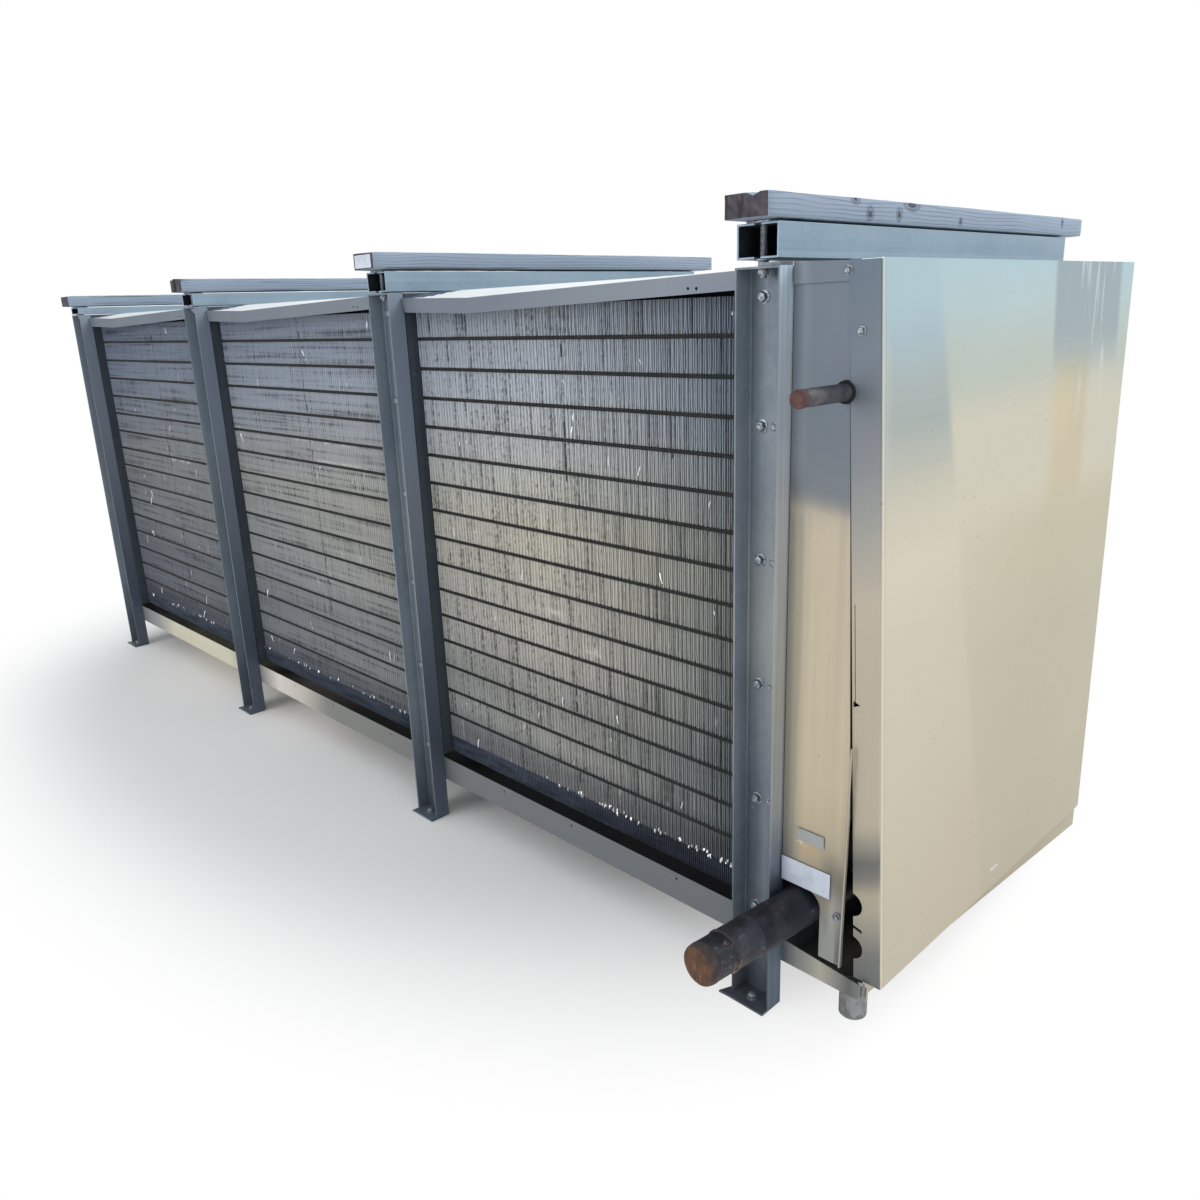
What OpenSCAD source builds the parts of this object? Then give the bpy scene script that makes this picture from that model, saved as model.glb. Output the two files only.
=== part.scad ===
// Refrigeration evaporator: three finned coil bays in a leg frame, with a pipe cabinet at one end,
// a sloped drain pan below, fans behind, and shipping timbers on the hanger beams.
// X runs along the unit towards the pipe cabinet, the coil face looks along -Y, Z is up.

/* [Leg frame] */
// Height of the posts above the floor
post_h = 1600; // [1400:10:2000]
// Width of a post channel, along the unit
post_w = 102; // [90:1:120]
// Depth of a post channel's flanges
post_d = 48; // [40:1:60]
// Thickness of the post steel
post_t = 4; // [3:0.5:6]
// Spacing of the posts along the unit
bay_pitch = 1285; // [1180:5:1400]
// Depth of the frame over the front and rear posts
frame_d = 1285; // [1200:5:1400]

/* [Feet] */
// Thickness of a foot plate
foot_t = 6; // [4:1:10]
// How far a foot plate stands out past its post
foot_out = 20; // [12:1:30]
// Anchor bolt hole in a foot plate
anchor_d = 14; // [12:1:18]
// Bent corner of the foot beside the pipe cabinet
foot_wing = 20; // [10:1:30]

/* [Hanger beams] */
// Width of a beam made of two channels
beam_w = 94; // [80:1:100]
// Height of the beam over the far post line
far_beam_h = 29; // [25:1:60]
// Height of the beam over the second post line
second_beam_h = 43; // [36:1:60]
// Height of the beam over the third post line
third_beam_h = 53; // [36:1:60]
// Height of the beam beside the pipe cabinet
end_beam_h = 62; // [50:1:80]
// Thickness of the beam steel
beam_t = 4; // [3:0.5:5]
// Gap between the two channels of a beam
beam_seam = 14; // [13.5:0.5:20]

/* [Shipping timbers] */
// Width of a timber
timber_w = 101; // [80:1:120]
// Height of a timber
timber_h = 48; // [38:1:70]
// How far a timber overhangs at the coil face
timber_front = 36; // [20:1:60]
// How far a timber overhangs at the fan side
timber_rear = 97; // [60:1:160]

/* [Tie rods] */
// Rod through post top, beam and timber
rod_d = 12; // [10:0.5:12.5]
// Height of a nut
nut_t = 10; // [8:1:12]
// Width of a nut across its corners
nut_d = 22; // [20:1:24]
// Diameter of a washer
washer_d = 32; // [28:1:40]
// Thickness of a washer
washer_t = 3; // [2:0.5:4]
// Width and thickness of the square plates between beam and timber
pad_w = 50; // [35:1:80]
pad_t = 4; // [3:0.5:8]
// Length of rod inside the timber
rod_grip = 25; // [15:1:35]

/* [Coil] */
// Spacing of the finned rows, as many as fit the height
row_pitch = 81; // [70:1:90]
// Least space over the coil, under the top panels
coil_headroom = 30; // [10:1:60]
// Open gap between two rows of fins
row_gap = 7; // [5:1:12]
// How deep the gaps between rows run in
gap_depth = 40; // [20:1:60]
// Depth of the fins, in the direction of the air
coil_d = 560; // [400:10:640]
// How far the fins stand back from the posts
coil_back = 36; // [20:1:60]
// Height of the fins' lower edge above the floor
coil_z = 265; // [250:1:280]
// Height of the plain sill below the fins
sill_h = 55; // [40:1:60]
// Thickness of the coil end sheets
sheet_t = 3; // [2:0.5:4]
// Width of the end sheets' flanges on the posts
flange_w = 45; // [35:1:48]

/* [Top panels] */
// Thickness of the aluminium sheets
skin_t = 2.5; // [2:0.5:3]
// Depth of the lip over the coil face
lip_h = 38; // [30:1:60]
// How far the lip's lower edge sags
lip_sag = 24; // [0:1:30]
// Slant of the lip's free end
lip_slant = 16; // [0:1:30]

/* [Drain pan] */
// Height of the pan's front bottom corner
pan_z = 126; // [115:1:135]
// Height of the pan's front wall
pan_lip = 76; // [60:1:78]
// Fall of the pan floor towards the fan side
pan_fall = 70; // [20:1:84]
// Height of the pan's front corner under the pipe cabinet
end_pan_z = 112; // [105:1:120]
// Fall of the floor under the pipe cabinet
end_pan_fall = 84; // [20:1:95]
// Height of the front wall under the pipe cabinet
end_pan_lip = 58; // [50:1:60]
// How much lower that wall is at its free end
end_pan_taper = 19; // [0:1:25]
// Outer diameter of the drain coupling
drain_d = 60.3; // [48:0.1:73]
// Bore of the drain coupling
drain_bore = 52.5; // [40:0.1:60]
// Length of the drain coupling
drain_len = 68; // [40:1:90]

/* [Pipe cabinet] */
// Length of the cabinet along the unit, at the top
cabinet_l = 183; // [170:1:220]
// How far the end cover is kicked out at its front foot
kick_front = 61; // [20:1:70]
// How far the end cover is kicked out at its rear foot
kick_rear = 27; // [0:1:40]
// Height of the end cover's front foot
cover_z_front = 160; // [140:1:180]
// Height of the end cover's rear foot
cover_z_rear = 99; // [90:1:160]
// Width of the end cover's front flange
cover_flange = 63; // [50:1:70]
// Width of its rear flange
rear_flange = 41; // [35:1:50]
// Height at which the front panel's edge parts from the flange
panel_kink_z = 540; // [400:10:700]
// Gap between the two at the panel's foot
wedge_foot = 23; // [10:1:30]
// Gap between a post and the front panel
panel_gap = 3; // [2:0.5:6]
// Height of the front panel's lower edge
panel_z = 178; // [172:1:190]
// Clearance beside and above the suction pipe in the front panel's cut-out
cutout_gap = 6; // [3:1:12]
// Radius of the cut-out's upper corner
cutout_r = 38; // [20:1:45]
// Height of the two round notches in the cover's flange
notch_z1 = 334; // [325:1:345]
notch_z2 = 232; // [225:1:240]
// Radius of the notches
notch_r = 28; // [24:1:32]

/* [Pipes] */
// Outer diameter of the suction pipe
suction_d = 88.9; // [73:0.1:88.9]
// Height of the suction pipe's centre line
suction_z = 280; // [275:1:285]
// Clearance between the suction pipe and the post beside it
suction_gap = 1; // [0.5:0.5:6]
// How far the suction stub reaches past the posts
suction_reach = 268; // [150:1:300]
// Length of the suction stub's free end, up to its weld ring
suction_free = 75; // [60:1:100]
// Turn of the suction stub away from the cabinet
suction_turn = 5.4; // [0:0.1:5.6]
// Outer diameter of the liquid pipe
liquid_d = 33.4; // [26.7:0.1:33.4]
// Depth of the liquid pipe's centre line below the post tops
liquid_drop = 223; // [120:1:260]
// Distance of its centre line from the post
liquid_x = 119; // [110:0.5:121]
// Distance between the suction and liquid headers behind the panel
header_gap = 110; // [90:5:160]
// How much thicker the headers are than the stubs
header_extra = 10; // [6:1:14]
// How far the liquid stub reaches past the posts
liquid_reach = 114; // [60:1:160]
// Diameter of the hole round the liquid pipe
liquid_hole_d = 42; // [38:1:46]
// Outer diameter of the short pipes between headers and coil
feed_d = 22; // [16:1:26]

/* [Fans] */
// Inner diameter of a fan ring
ring_d = 760; // [600:10:860]
// Depth of a fan ring
ring_depth = 80; // [60:1:110]
// Gap between blade tips and ring
tip_gap = 8; // [5:1:12]
// Number of blades
blade_count = 5; // [3:1:6]
// Width of a blade
blade_w = 150; // [100:1:180]
// Pitch angle of a blade
blade_pitch = 22; // [15:1:25]
// Diameter of the hub
hub_d = 150; // [120:1:180]
// Diameter of a fan motor
motor_d = 200; // [160:1:240]
// Length of a fan motor
motor_l = 230; // [180:5:260]
// Wire thickness of a fan guard
wire_d = 6; // [4:1:8]
// Number of rings in a fan guard
guard_rings = 7; // [5:1:8]

/* [Far end] */
// Length of the cover over the coil's return bends
bend_cover_l = 150; // [100:1:160]

/* [Hidden] */
$fn = 64;
seat = 0.3;
bay_count = 3;
post_count = bay_count + 1;
unit_l = bay_count * bay_pitch + post_w;

// depths behind the front of the posts
web_back = post_d;
rear_web = frame_d - post_d;
coil_front = post_d + coil_back;
deck_z = post_h - skin_t;
coil_rows = floor((deck_z - coil_headroom - coil_z) / row_pitch);
coil_top = coil_z + coil_rows * row_pitch;
liquid_z = post_h - liquid_drop;

// pipe cabinet: plane of the front panel, end cover corners, gap beside the flange at its top,
// how far the notches' centres lie outside the flange, the slot between the notches
panel_back = post_d - post_t;
panel_front = panel_back - skin_t;
cover_front = panel_front - skin_t;
cover_rear = frame_d - 27;
cover_lean = 18;
cover_tuck = 30;
cover_top = post_h + skin_t + seat;
cabinet_right = cabinet_l + kick_front;
wedge_top = 2;
strip_w = 40;
notch_out = 7;
slot_l = 20;
slot_h = 6;

// the suction stub's centre line at the front of the posts, and its outer end
suction_x = suction_gap + suction_d / 2 / cos(suction_turn);
suction_tip_x = suction_x - suction_reach * tan(suction_turn);
suction_low_y = -suction_reach - suction_d / 2 * sin(suction_turn);

// row origin: on the floor, under the centre of the whole part
x_min = -unit_l - bend_cover_l;
x_max = cabinet_right;
y_min = suction_low_y;
y_max = frame_d + timber_rear;
shift = [-(x_min + x_max) / 2, -(y_min + y_max) / 2, 0];

steel = "slategray";
alloy = "silver";
timber = "rosybrown";
iron = "saddlebrown";
dark = "dimgray";

// right face of post i, counted from the far end
function post_x(i) = (i - post_count) * bay_pitch;
function post_mid(i) = post_x(i) - post_w / 2;
// clear width of bay i, between the faces of its posts
function bay_x0(i) = post_x(i);
function bay_x1(i) = post_x(i + 1) - post_w;
function bay_mid(i) = (bay_x0(i) + bay_x1(i)) / 2;
function beam_height(i) = [far_beam_h, second_beam_h, third_beam_h, end_beam_h][i - 1];
// a beam lies on washers, the one beside the pipe cabinet on nuts and washers
function beam_foot(i) = post_h + washer_t + (i == post_count ? nut_t : 0);

// a block from its lowest to its highest corner
module block(low, high) {
    translate(low) cube(high - low);
}

// an outline in Y and Z, drawn out along X
module along_x(x0, x1) {
    translate([x0, 0, 0]) rotate([90, 0, 90]) linear_extrude(x1 - x0) children();
}

// an outline in X and Z, drawn out along Y
module along_y(y0, y1) {
    translate([0, y1, 0]) rotate([90, 0, 0]) linear_extrude(y1 - y0) children();
}

// ---- leg frame ----

// a post channel open towards -Y, its right face at x = 0
module post_channel() {
    difference() {
        block([-post_w, 0, 0], [0, post_d, post_h]);
        block([post_t - post_w, -1, foot_t], [-post_t, post_d - post_t, post_h - post_t]);
        translate([-post_w / 2, post_d / 2 - post_t, post_h - 2 * post_t])
            cylinder(d = rod_d + 1, h = 3 * post_t);
        translate([-post_w / 2, post_d / 4, -1]) cylinder(d = anchor_d, h = foot_t + 2);
    }
}

module foot_plate(wing) {
    difference() {
        union() {
            block([-post_w, -foot_out, 0], [0, seat, foot_t]);
            linear_extrude(foot_t)
                polygon([[-post_w, -foot_out], [-post_w, post_d / 2], [-post_w - wing, -foot_out - 2]]);
        }
        translate([-post_w / 2, post_d / 4, -1]) cylinder(d = anchor_d, h = foot_t + 2);
    }
}

module front_post(i) {
    color(steel) translate([post_x(i), 0, 0]) {
        post_channel();
        foot_plate(i == post_count ? foot_wing : 0.5);
    }
}

module rear_post(i) {
    color(steel) translate([post_x(i), frame_d, 0]) mirror([0, 1, 0]) {
        post_channel();
        foot_plate(0.5);
    }
}

// ---- hanger beams, timbers and tie rods ----

module hanger_beam(i) {
    h = beam_height(i);
    half = (beam_w - beam_seam) / 2;
    color(steel) translate([post_mid(i), 0, beam_foot(i)])
        for (side = [0, 1]) mirror([side, 0, 0]) difference() {
            block([beam_seam / 2, 0, 0], [beam_seam / 2 + half, frame_d, h]);
            block([-1, -1, beam_t], [beam_seam / 2 + half - beam_t, frame_d + 1, h - beam_t]);
        }
}

module shipping_timber(i) {
    z = timber_z(i);
    color(timber) difference() {
        block([post_mid(i) - timber_w / 2, -timber_front, z],
              [post_mid(i) + timber_w / 2, frame_d + timber_rear, z + timber_h]);
        for (y = [rod_y(), frame_d - rod_y()])
            translate([post_mid(i), y, z - 1]) cylinder(d = rod_d + 2 * seat, h = rod_grip + seat + 1);
    }
}

function rod_y() = post_d / 2 - post_t;
function timber_z(i) = beam_foot(i) + beam_height(i) + pad_t;

module tie_rod(i) {
    top = timber_z(i) + rod_grip;
    low = post_h - post_t - nut_t;
    translate([post_mid(i), 0, 0]) {
        translate([0, 0, low - rod_d / 2]) cylinder(d = rod_d, h = top - low + rod_d / 2);
        translate([0, 0, low]) cylinder(d = nut_d, h = nut_t, $fn = 6);
        if (i == post_count) translate([0, 0, post_h]) cylinder(d = nut_d, h = nut_t, $fn = 6);
        translate([0, 0, beam_foot(i) - washer_t]) cylinder(d = washer_d, h = washer_t);
        block([-pad_w / 2, -rod_y(), timber_z(i) - pad_t], [pad_w / 2, pad_w - rod_y(), timber_z(i)]);
    }
}

module tie_rods() {
    color(alloy)
        for (i = [1:post_count], y = [rod_y(), frame_d - rod_y()])
            translate([0, y, 0]) tie_rod(i);
}

// ---- coil ----

// the sheet at one end of a coil, its flange turned outwards on the post
module end_sheet(x, out) {
    y0 = web_back + seat;
    y1 = rear_web - seat;
    low = coil_z - sill_h;
    top = deck_z - seat;
    block([min(x, x + out * sheet_t), y0, low], [max(x, x + out * sheet_t), y1, top]);
    for (y = [y0, y1 - sheet_t])
        block([min(x, x + out * flange_w), y, low], [max(x, x + out * flange_w), y + sheet_t, top]);
}

module coil(i) {
    color(dark) {
        block([bay_x0(i), coil_front + gap_depth, coil_z],
              [bay_x1(i), coil_front + coil_d - gap_depth, coil_top]);
        for (k = [0:coil_rows - 1])
            block([bay_x0(i), coil_front, coil_z + k * row_pitch],
                  [bay_x1(i), coil_front + coil_d, coil_z + (k + 1) * row_pitch - row_gap]);
        block([bay_x0(i), coil_front, coil_z - sill_h], [bay_x1(i), coil_front + gap_depth * 2, coil_z]);
        block([bay_x0(i), coil_front + coil_d - gap_depth * 2, coil_z - sill_h],
              [bay_x1(i), coil_front + coil_d, coil_z]);
        end_sheet(bay_x0(i), -1);
        end_sheet(bay_x1(i), 1);
    }
}

// ---- top panels ----

// sag of the lip at a share u of its length, deepest a quarter of the way along
function sag(u) = lookup(u, [[0, 0.6], [0.25, 1], [1, 0]]);

module lip_outline(l) {
    steps = 16;
    foot = [for (k = [steps:-1:0])
        [max(l * k / steps, lip_slant), post_h - lip_h - lip_sag * sag(k / steps)]];
    polygon(concat([[0, post_h], [l, post_h]], foot));
}

module top_panel(i) {
    x0 = i == 1 ? x_min : post_mid(i);
    x1 = i == bay_count ? post_x(i + 1) : post_mid(i + 1) - 1;
    l = bay_x1(i) - bay_x0(i) - 2 * seat;
    color(alloy) {
        block([x0, web_back + seat, deck_z], [x1, rear_web - seat, post_h]);
        block([bay_x0(i) + seat, web_back - 2 * skin_t, deck_z],
              [bay_x1(i) - seat, rear_web + post_t + 2 * skin_t, post_h]);
        translate([bay_x0(i) + seat, 0, 0]) along_y(web_back - 3 * skin_t, web_back - 2 * skin_t)
            lip_outline(l);
        block([bay_x0(i) + seat, rear_web + post_t + 2 * skin_t, post_h - lip_h],
              [bay_x1(i) - seat, rear_web + post_t + 3 * skin_t, post_h]);
    }
}

// ---- drain pan ----

// a pan's bent sheet: front wall, floor falling to the rear, rear wall
module pan_profile(z, lip, fall, rear_top) {
    y0 = web_back + seat;
    y1 = rear_web - seat;
    polygon([[y0, z + lip], [y0, z], [y1, z - fall], [y1, rear_top], [y1 - skin_t, rear_top],
             [y1 - skin_t, z - fall + skin_t], [y0 + skin_t, z + skin_t], [y0 + skin_t, z + lip]]);
}

// the end wall that closes a pan's bent sheet
module pan_end(z, lip, fall, rear_top) {
    y0 = web_back + seat;
    y1 = rear_web - seat;
    polygon([[y0, z + lip], [y0, z], [y1, z - fall], [y1, rear_top]]);
}

module drain_pan() {
    x0 = x_min;
    x1 = pan_split;
    rear_top = pan_z + pan_lip;
    color(alloy) {
        along_x(x0, x1) pan_profile(pan_z, pan_lip, pan_fall, rear_top);
        along_x(x0, x0 + skin_t) pan_end(pan_z, pan_lip, pan_fall, rear_top);
        along_x(x1 - skin_t, x1) pan_end(pan_z, pan_lip, pan_fall, rear_top);
    }
}

// where the two pans meet, the free end of the small one, and the tab on it
pan_split = -6;
end_pan_x0 = pan_split + seat;
end_pan_x1 = cabinet_l + 15;
tab_w = 18;
tab_h = 35;

module end_drain_pan() {
    rear_top = cover_z_rear - 10;
    front_top = end_pan_z + end_pan_lip;
    y0 = web_back + seat;
    color(alloy) difference() {
        union() {
            along_x(end_pan_x0, end_pan_x1) pan_profile(end_pan_z, end_pan_lip, end_pan_fall, rear_top);
            along_x(end_pan_x0, end_pan_x0 + skin_t)
                pan_end(end_pan_z, end_pan_lip, end_pan_fall, rear_top);
            along_x(end_pan_x1 - skin_t, end_pan_x1)
                pan_end(end_pan_z, end_pan_lip - end_pan_taper, end_pan_fall, rear_top);
            block([end_pan_x1 - skin_t, y0, front_top - end_pan_taper - tab_h],
                  [end_pan_x1 + tab_w, y0 + skin_t, front_top - end_pan_taper]);
        }
        along_y(y0 - 1, y0 + skin_t + 1)
            polygon([[end_pan_x0, front_top + 1], [end_pan_x0, front_top],
                     [end_pan_x1, front_top - end_pan_taper], [end_pan_x1, front_top + 1]]);
        drain_hole();
    }
}

drain_x = end_pan_x1 - drain_d / 2 - 6;
// height of the weld ring at the coupling's top
drain_ring = 8;
drain_y = web_back + drain_d / 2 + 12;
// fall of the small pan's floor, and its height under the coupling
floor_slope = atan(end_pan_fall / (rear_web - web_back));
drain_z = end_pan_z - (drain_y - web_back) * tan(floor_slope);

module drain_hole() {
    translate([drain_x, drain_y, 0]) cylinder(d = drain_bore, h = end_pan_z + end_pan_lip);
}

// a pipe coupling cut to the slope of the floor above it
module drain_coupling() {
    color(alloy) translate([drain_x, drain_y, drain_z]) difference() {
        union() {
            translate([0, 0, -drain_len]) cylinder(d = drain_d, h = drain_len + drain_d / 2);
            translate([0, 0, -drain_ring])
                cylinder(d = drain_d + 2 * ring_rise, h = drain_ring + drain_d / 2);
        }
        translate([0, 0, -drain_len - 1]) cylinder(d = drain_bore, h = drain_len + drain_d);
        rotate([-floor_slope, 0, 0]) block([-drain_d, -drain_d, -seat], [drain_d, drain_d, drain_d]);
    }
}

// ---- pipe cabinet ----

// share of the end cover's height at height z, 0 at its top
function cover_share(z) = (cover_top - z) / (cover_top - cover_z_front);
// left edge of the cover's front flange
function flange_edge(z) = cabinet_l + kick_front * cover_share(z) - cover_flange;

// cut-out round the suction pipe, its upper right corner rounded
module pipe_cutout() {
    half = suction_d / 2 / cos(suction_turn);
    w = suction_x + panel_back * tan(suction_turn) + half + cutout_gap;
    top = suction_z + suction_d / 2 + cutout_gap;
    translate([-seat, 0]) square([w + seat, top - cutout_r]);
    translate([-seat, 0]) square([w + seat - cutout_r, top]);
    translate([w - cutout_r, top - cutout_r]) circle(cutout_r);
}

module front_panel() {
    top = deck_z - seat;
    color(alloy) along_y(panel_front, panel_back) difference() {
        polygon([[panel_gap, top], [panel_gap, panel_z],
                 [flange_edge(panel_z) - wedge_foot, panel_z],
                 [flange_edge(panel_kink_z) - wedge_top, panel_kink_z],
                 [flange_edge(top) - wedge_top, top]]);
        pipe_cutout();
        translate([liquid_x, liquid_z]) circle(d = liquid_hole_d);
    }
}

// a sheet between four corners, offset to its inner side
module skin(a, b, c, d, inward) {
    polyhedron(
        points = [a, b, c, d, a + inward, b + inward, c + inward, d + inward],
        faces = [[0, 1, 2], [0, 2, 3], [6, 5, 4], [7, 6, 4],
                 [1, 0, 4], [1, 4, 5], [2, 1, 5], [2, 5, 6],
                 [3, 2, 6], [3, 6, 7], [0, 3, 7], [0, 7, 4]]);
}

module end_cover() {
    front_top = [cabinet_l, cover_front, cover_top];
    front_foot = [cabinet_right, cover_front + cover_lean, cover_z_front];
    rear_top = [cabinet_l, cover_rear, cover_top];
    rear_foot = [cabinet_l + kick_rear, cover_rear - cover_tuck, cover_z_rear];
    front_in = [cover_flange, 0, 0];
    rear_in = [rear_flange, 0, 0];
    slot_z = (notch_z1 + notch_z2) / 2;
    color(alloy) difference() {
        union() {
            skin(front_top, rear_top, rear_foot, front_foot, [-skin_t, 0, 0]);
            skin(front_top - front_in, front_top, front_foot, front_foot - front_in, [0, skin_t, 0]);
            skin(rear_top, rear_top - rear_in, rear_foot - rear_in, rear_foot, [0, -skin_t, 0]);
            block([cabinet_l - strip_w, cover_front, cover_top - skin_t],
                  [cabinet_l - skin_t / 2, cover_rear, cover_top]);
        }
        translate([liquid_x, 0, liquid_z]) round_cut(liquid_hole_d / 2);
        for (z = [notch_z1, notch_z2])
            translate([flange_edge(z) - notch_out, 0, z]) round_cut(notch_r);
        block([flange_edge(slot_z) - notch_out, 0, slot_z - slot_h / 2],
              [flange_edge(slot_z) + slot_l, 2 * post_d, slot_z + slot_h / 2]);
    }
}

// a round hole through the front flange
module round_cut(r) {
    rotate([-90, 0, 0]) cylinder(r = r, h = 2 * post_d);
}

module cabinet_top() {
    color(alloy) block([seat, panel_front, deck_z],
                       [cabinet_l - 2 * skin_t, cover_rear - 2 * skin_t, post_h]);
}

module cabinet_rear() {
    y0 = cover_rear - cover_tuck - 2 * skin_t - seat;
    color(alloy) block([seat, y0, cover_z_rear],
                       [cabinet_l - 2 * skin_t, y0 + skin_t, deck_z - seat]);
}

// ---- pipes ----

header_y = 190;
liquid_header_y = header_y + header_gap;
header_low = 20;
// the weld rings on the stubs, and how far the liquid pipe's grommet stands out of the panel
ring_rise = 2.5;
ring_w = 6;
grommet_lip = 3;

module suction_line() {
    x_in = suction_x + header_y * tan(suction_turn);
    z0 = suction_z - suction_d / 2 - header_low;
    z1 = liquid_z - liquid_d / 2 - header_low;
    color(iron) {
        translate([suction_tip_x, -suction_reach, suction_z]) rotate([-90, 0, -suction_turn]) {
            cylinder(d = suction_d, h = (header_y + suction_reach) / cos(suction_turn));
            translate([0, 0, suction_free]) cylinder(d = suction_d + 2 * ring_rise, h = ring_w);
        }
        translate([x_in, header_y, z0]) cylinder(d = suction_d + header_extra, h = z1 - z0);
        for (k = [2:2:coil_rows - 1])
            if (coil_z + k * row_pitch < z1 - feed_d) feed_pipe(x_in, header_y, coil_z + k * row_pitch);
    }
}

// a short pipe from the coil's end sheet to a header
module feed_pipe(x_in, y, z) {
    x0 = bay_x1(bay_count) + sheet_t;
    translate([x0, y, z]) rotate([0, 90, 0]) cylinder(d = feed_d, h = x_in - x0);
}

module liquid_line() {
    z0 = coil_z + row_pitch / 2;
    color(iron) {
        translate([liquid_x, -liquid_reach, liquid_z]) rotate([-90, 0, 0])
            cylinder(d = liquid_d, h = liquid_header_y + liquid_reach);
        // the grommet that fills the panel's hole
        translate([liquid_x, panel_front - grommet_lip, liquid_z]) rotate([-90, 0, 0])
            cylinder(d = liquid_hole_d - 2 * seat, h = skin_t + 2 * grommet_lip);
        translate([liquid_x, liquid_header_y, z0])
            cylinder(d = liquid_d + header_extra, h = liquid_z + liquid_d - z0);
        for (k = [1:2:coil_rows - 3])
            if (coil_z + k * row_pitch < liquid_z - liquid_d)
                feed_pipe(liquid_x, liquid_header_y, coil_z + k * row_pitch);
    }
}

// ---- fans ----

fan_z = (coil_z + deck_z) / 2;
panel_y0 = rear_web + post_t - skin_t;
hub_l = 60;
blade_t = 3;
blade_root = 10;
shaft_r = 14;
shaft_cap = 10;
rotor_y = panel_y0 + skin_t - ring_depth / 2;
motor_gap = 20;
guard_gap = 20;
leg_w = 40;
leg_t = 8;
leg_space = 70;
// length of a blade from its root in the hub to its tip
blade_l = sqrt(pow(ring_d / 2 - tip_gap, 2) - pow(blade_w / 2, 2)) - hub_d / 2 + blade_root;

// places a fan part at depth y: drawn along +Z, it faces the rear
module at_fan(i, y) {
    translate([bay_mid(i), y, fan_z]) rotate([-90, 0, 0]) children();
}

module fan_panel(i) {
    color(alloy) difference() {
        union() {
            block([bay_x0(i) + seat, panel_y0, coil_z - sill_h],
                  [bay_x1(i) - seat, panel_y0 + skin_t, deck_z - seat]);
            at_fan(i, panel_y0 + skin_t - ring_depth) cylinder(d = ring_d + 2 * skin_t, h = ring_depth);
        }
        at_fan(i, panel_y0 - ring_depth) cylinder(d = ring_d, h = 2 * ring_depth);
    }
}

module fan_guard(i) {
    reach = ring_d / 2 + wire_d * 2;
    step = reach / guard_rings;
    color(steel) at_fan(i, panel_y0 + skin_t + guard_gap) {
        for (k = [1:guard_rings]) rotate_extrude()
            translate([k * step - wire_d, 0]) square(wire_d);
        for (a = [0:45:135]) rotate(a)
            block([-reach + wire_d / 2, -wire_d / 2, 0], [reach - wire_d / 2, wire_d / 2, wire_d / 2]);
        for (a = [0:90:270]) rotate(a)
            block([reach - wire_d, -wire_d, seat - guard_gap], [reach, wire_d, wire_d]);
    }
}

module fan_rotor(i) {
    color(dark) at_fan(i, rotor_y) difference() {
        union() {
            translate([0, 0, -hub_l / 2]) cylinder(d = hub_d, h = hub_l);
            for (k = [0:blade_count - 1]) rotate(k * 360 / blade_count)
                translate([hub_d / 2 - blade_root, 0, 0]) rotate([blade_pitch, 0, 0])
                    block([0, -blade_w / 2, -blade_t / 2], [blade_l, blade_w / 2, blade_t / 2]);
        }
        translate([0, 0, -hub_l]) cylinder(r = shaft_r + seat, h = hub_l * 3 / 2 - shaft_cap);
    }
}

// a motor on its shaft side, held by two flat bars on legs
module fan_motor(i) {
    y_back = panel_y0 - ring_depth - motor_gap;
    arm = ring_d / 2 + leg_w;
    leg_l = panel_y0 - y_back - seat;
    color(steel) at_fan(i, y_back) {
        translate([0, 0, -motor_l]) cylinder(d = motor_d, h = motor_l);
        translate([0, 0, -shaft_r])
            cylinder(r = shaft_r, h = rotor_y - y_back + hub_l / 2 + shaft_r - shaft_cap - seat);
        for (side = [-1, 1]) {
            block([-arm, side * leg_space - leg_w / 2, -leg_t], [arm, side * leg_space + leg_w / 2, 0]);
            for (end = [-arm, arm - leg_t * 2])
                block([end, side * leg_space - leg_w / 2, -leg_t / 2],
                      [end + leg_t * 2, side * leg_space + leg_w / 2, leg_l]);
        }
    }
}

// ---- far end ----

module bend_cover() {
    color(alloy) block([x_min, web_back + seat + sheet_t + seat, coil_z - sill_h],
                       [bay_x0(1) - sheet_t - seat, rear_web - 2 * seat - sheet_t, deck_z - 2 * seat]);
}

translate(shift) {
    for (i = [1:post_count]) {
        front_post(i);
        rear_post(i);
        hanger_beam(i);
        shipping_timber(i);
    }
    for (i = [1:bay_count]) {
        coil(i);
        top_panel(i);
        fan_panel(i);
        fan_guard(i);
        fan_rotor(i);
        fan_motor(i);
    }
    tie_rods();
    drain_pan();
    end_drain_pan();
    drain_coupling();
    front_panel();
    end_cover();
    cabinet_top();
    cabinet_rear();
    suction_line();
    liquid_line();
    bend_cover();
}
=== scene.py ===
"""Refrigeration evaporator: finned coils in a steel leg frame, with a pipe cabinet at one end."""

import math
import random

import bmesh
import bpy
from mathutils import Matrix, Vector, noise


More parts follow.
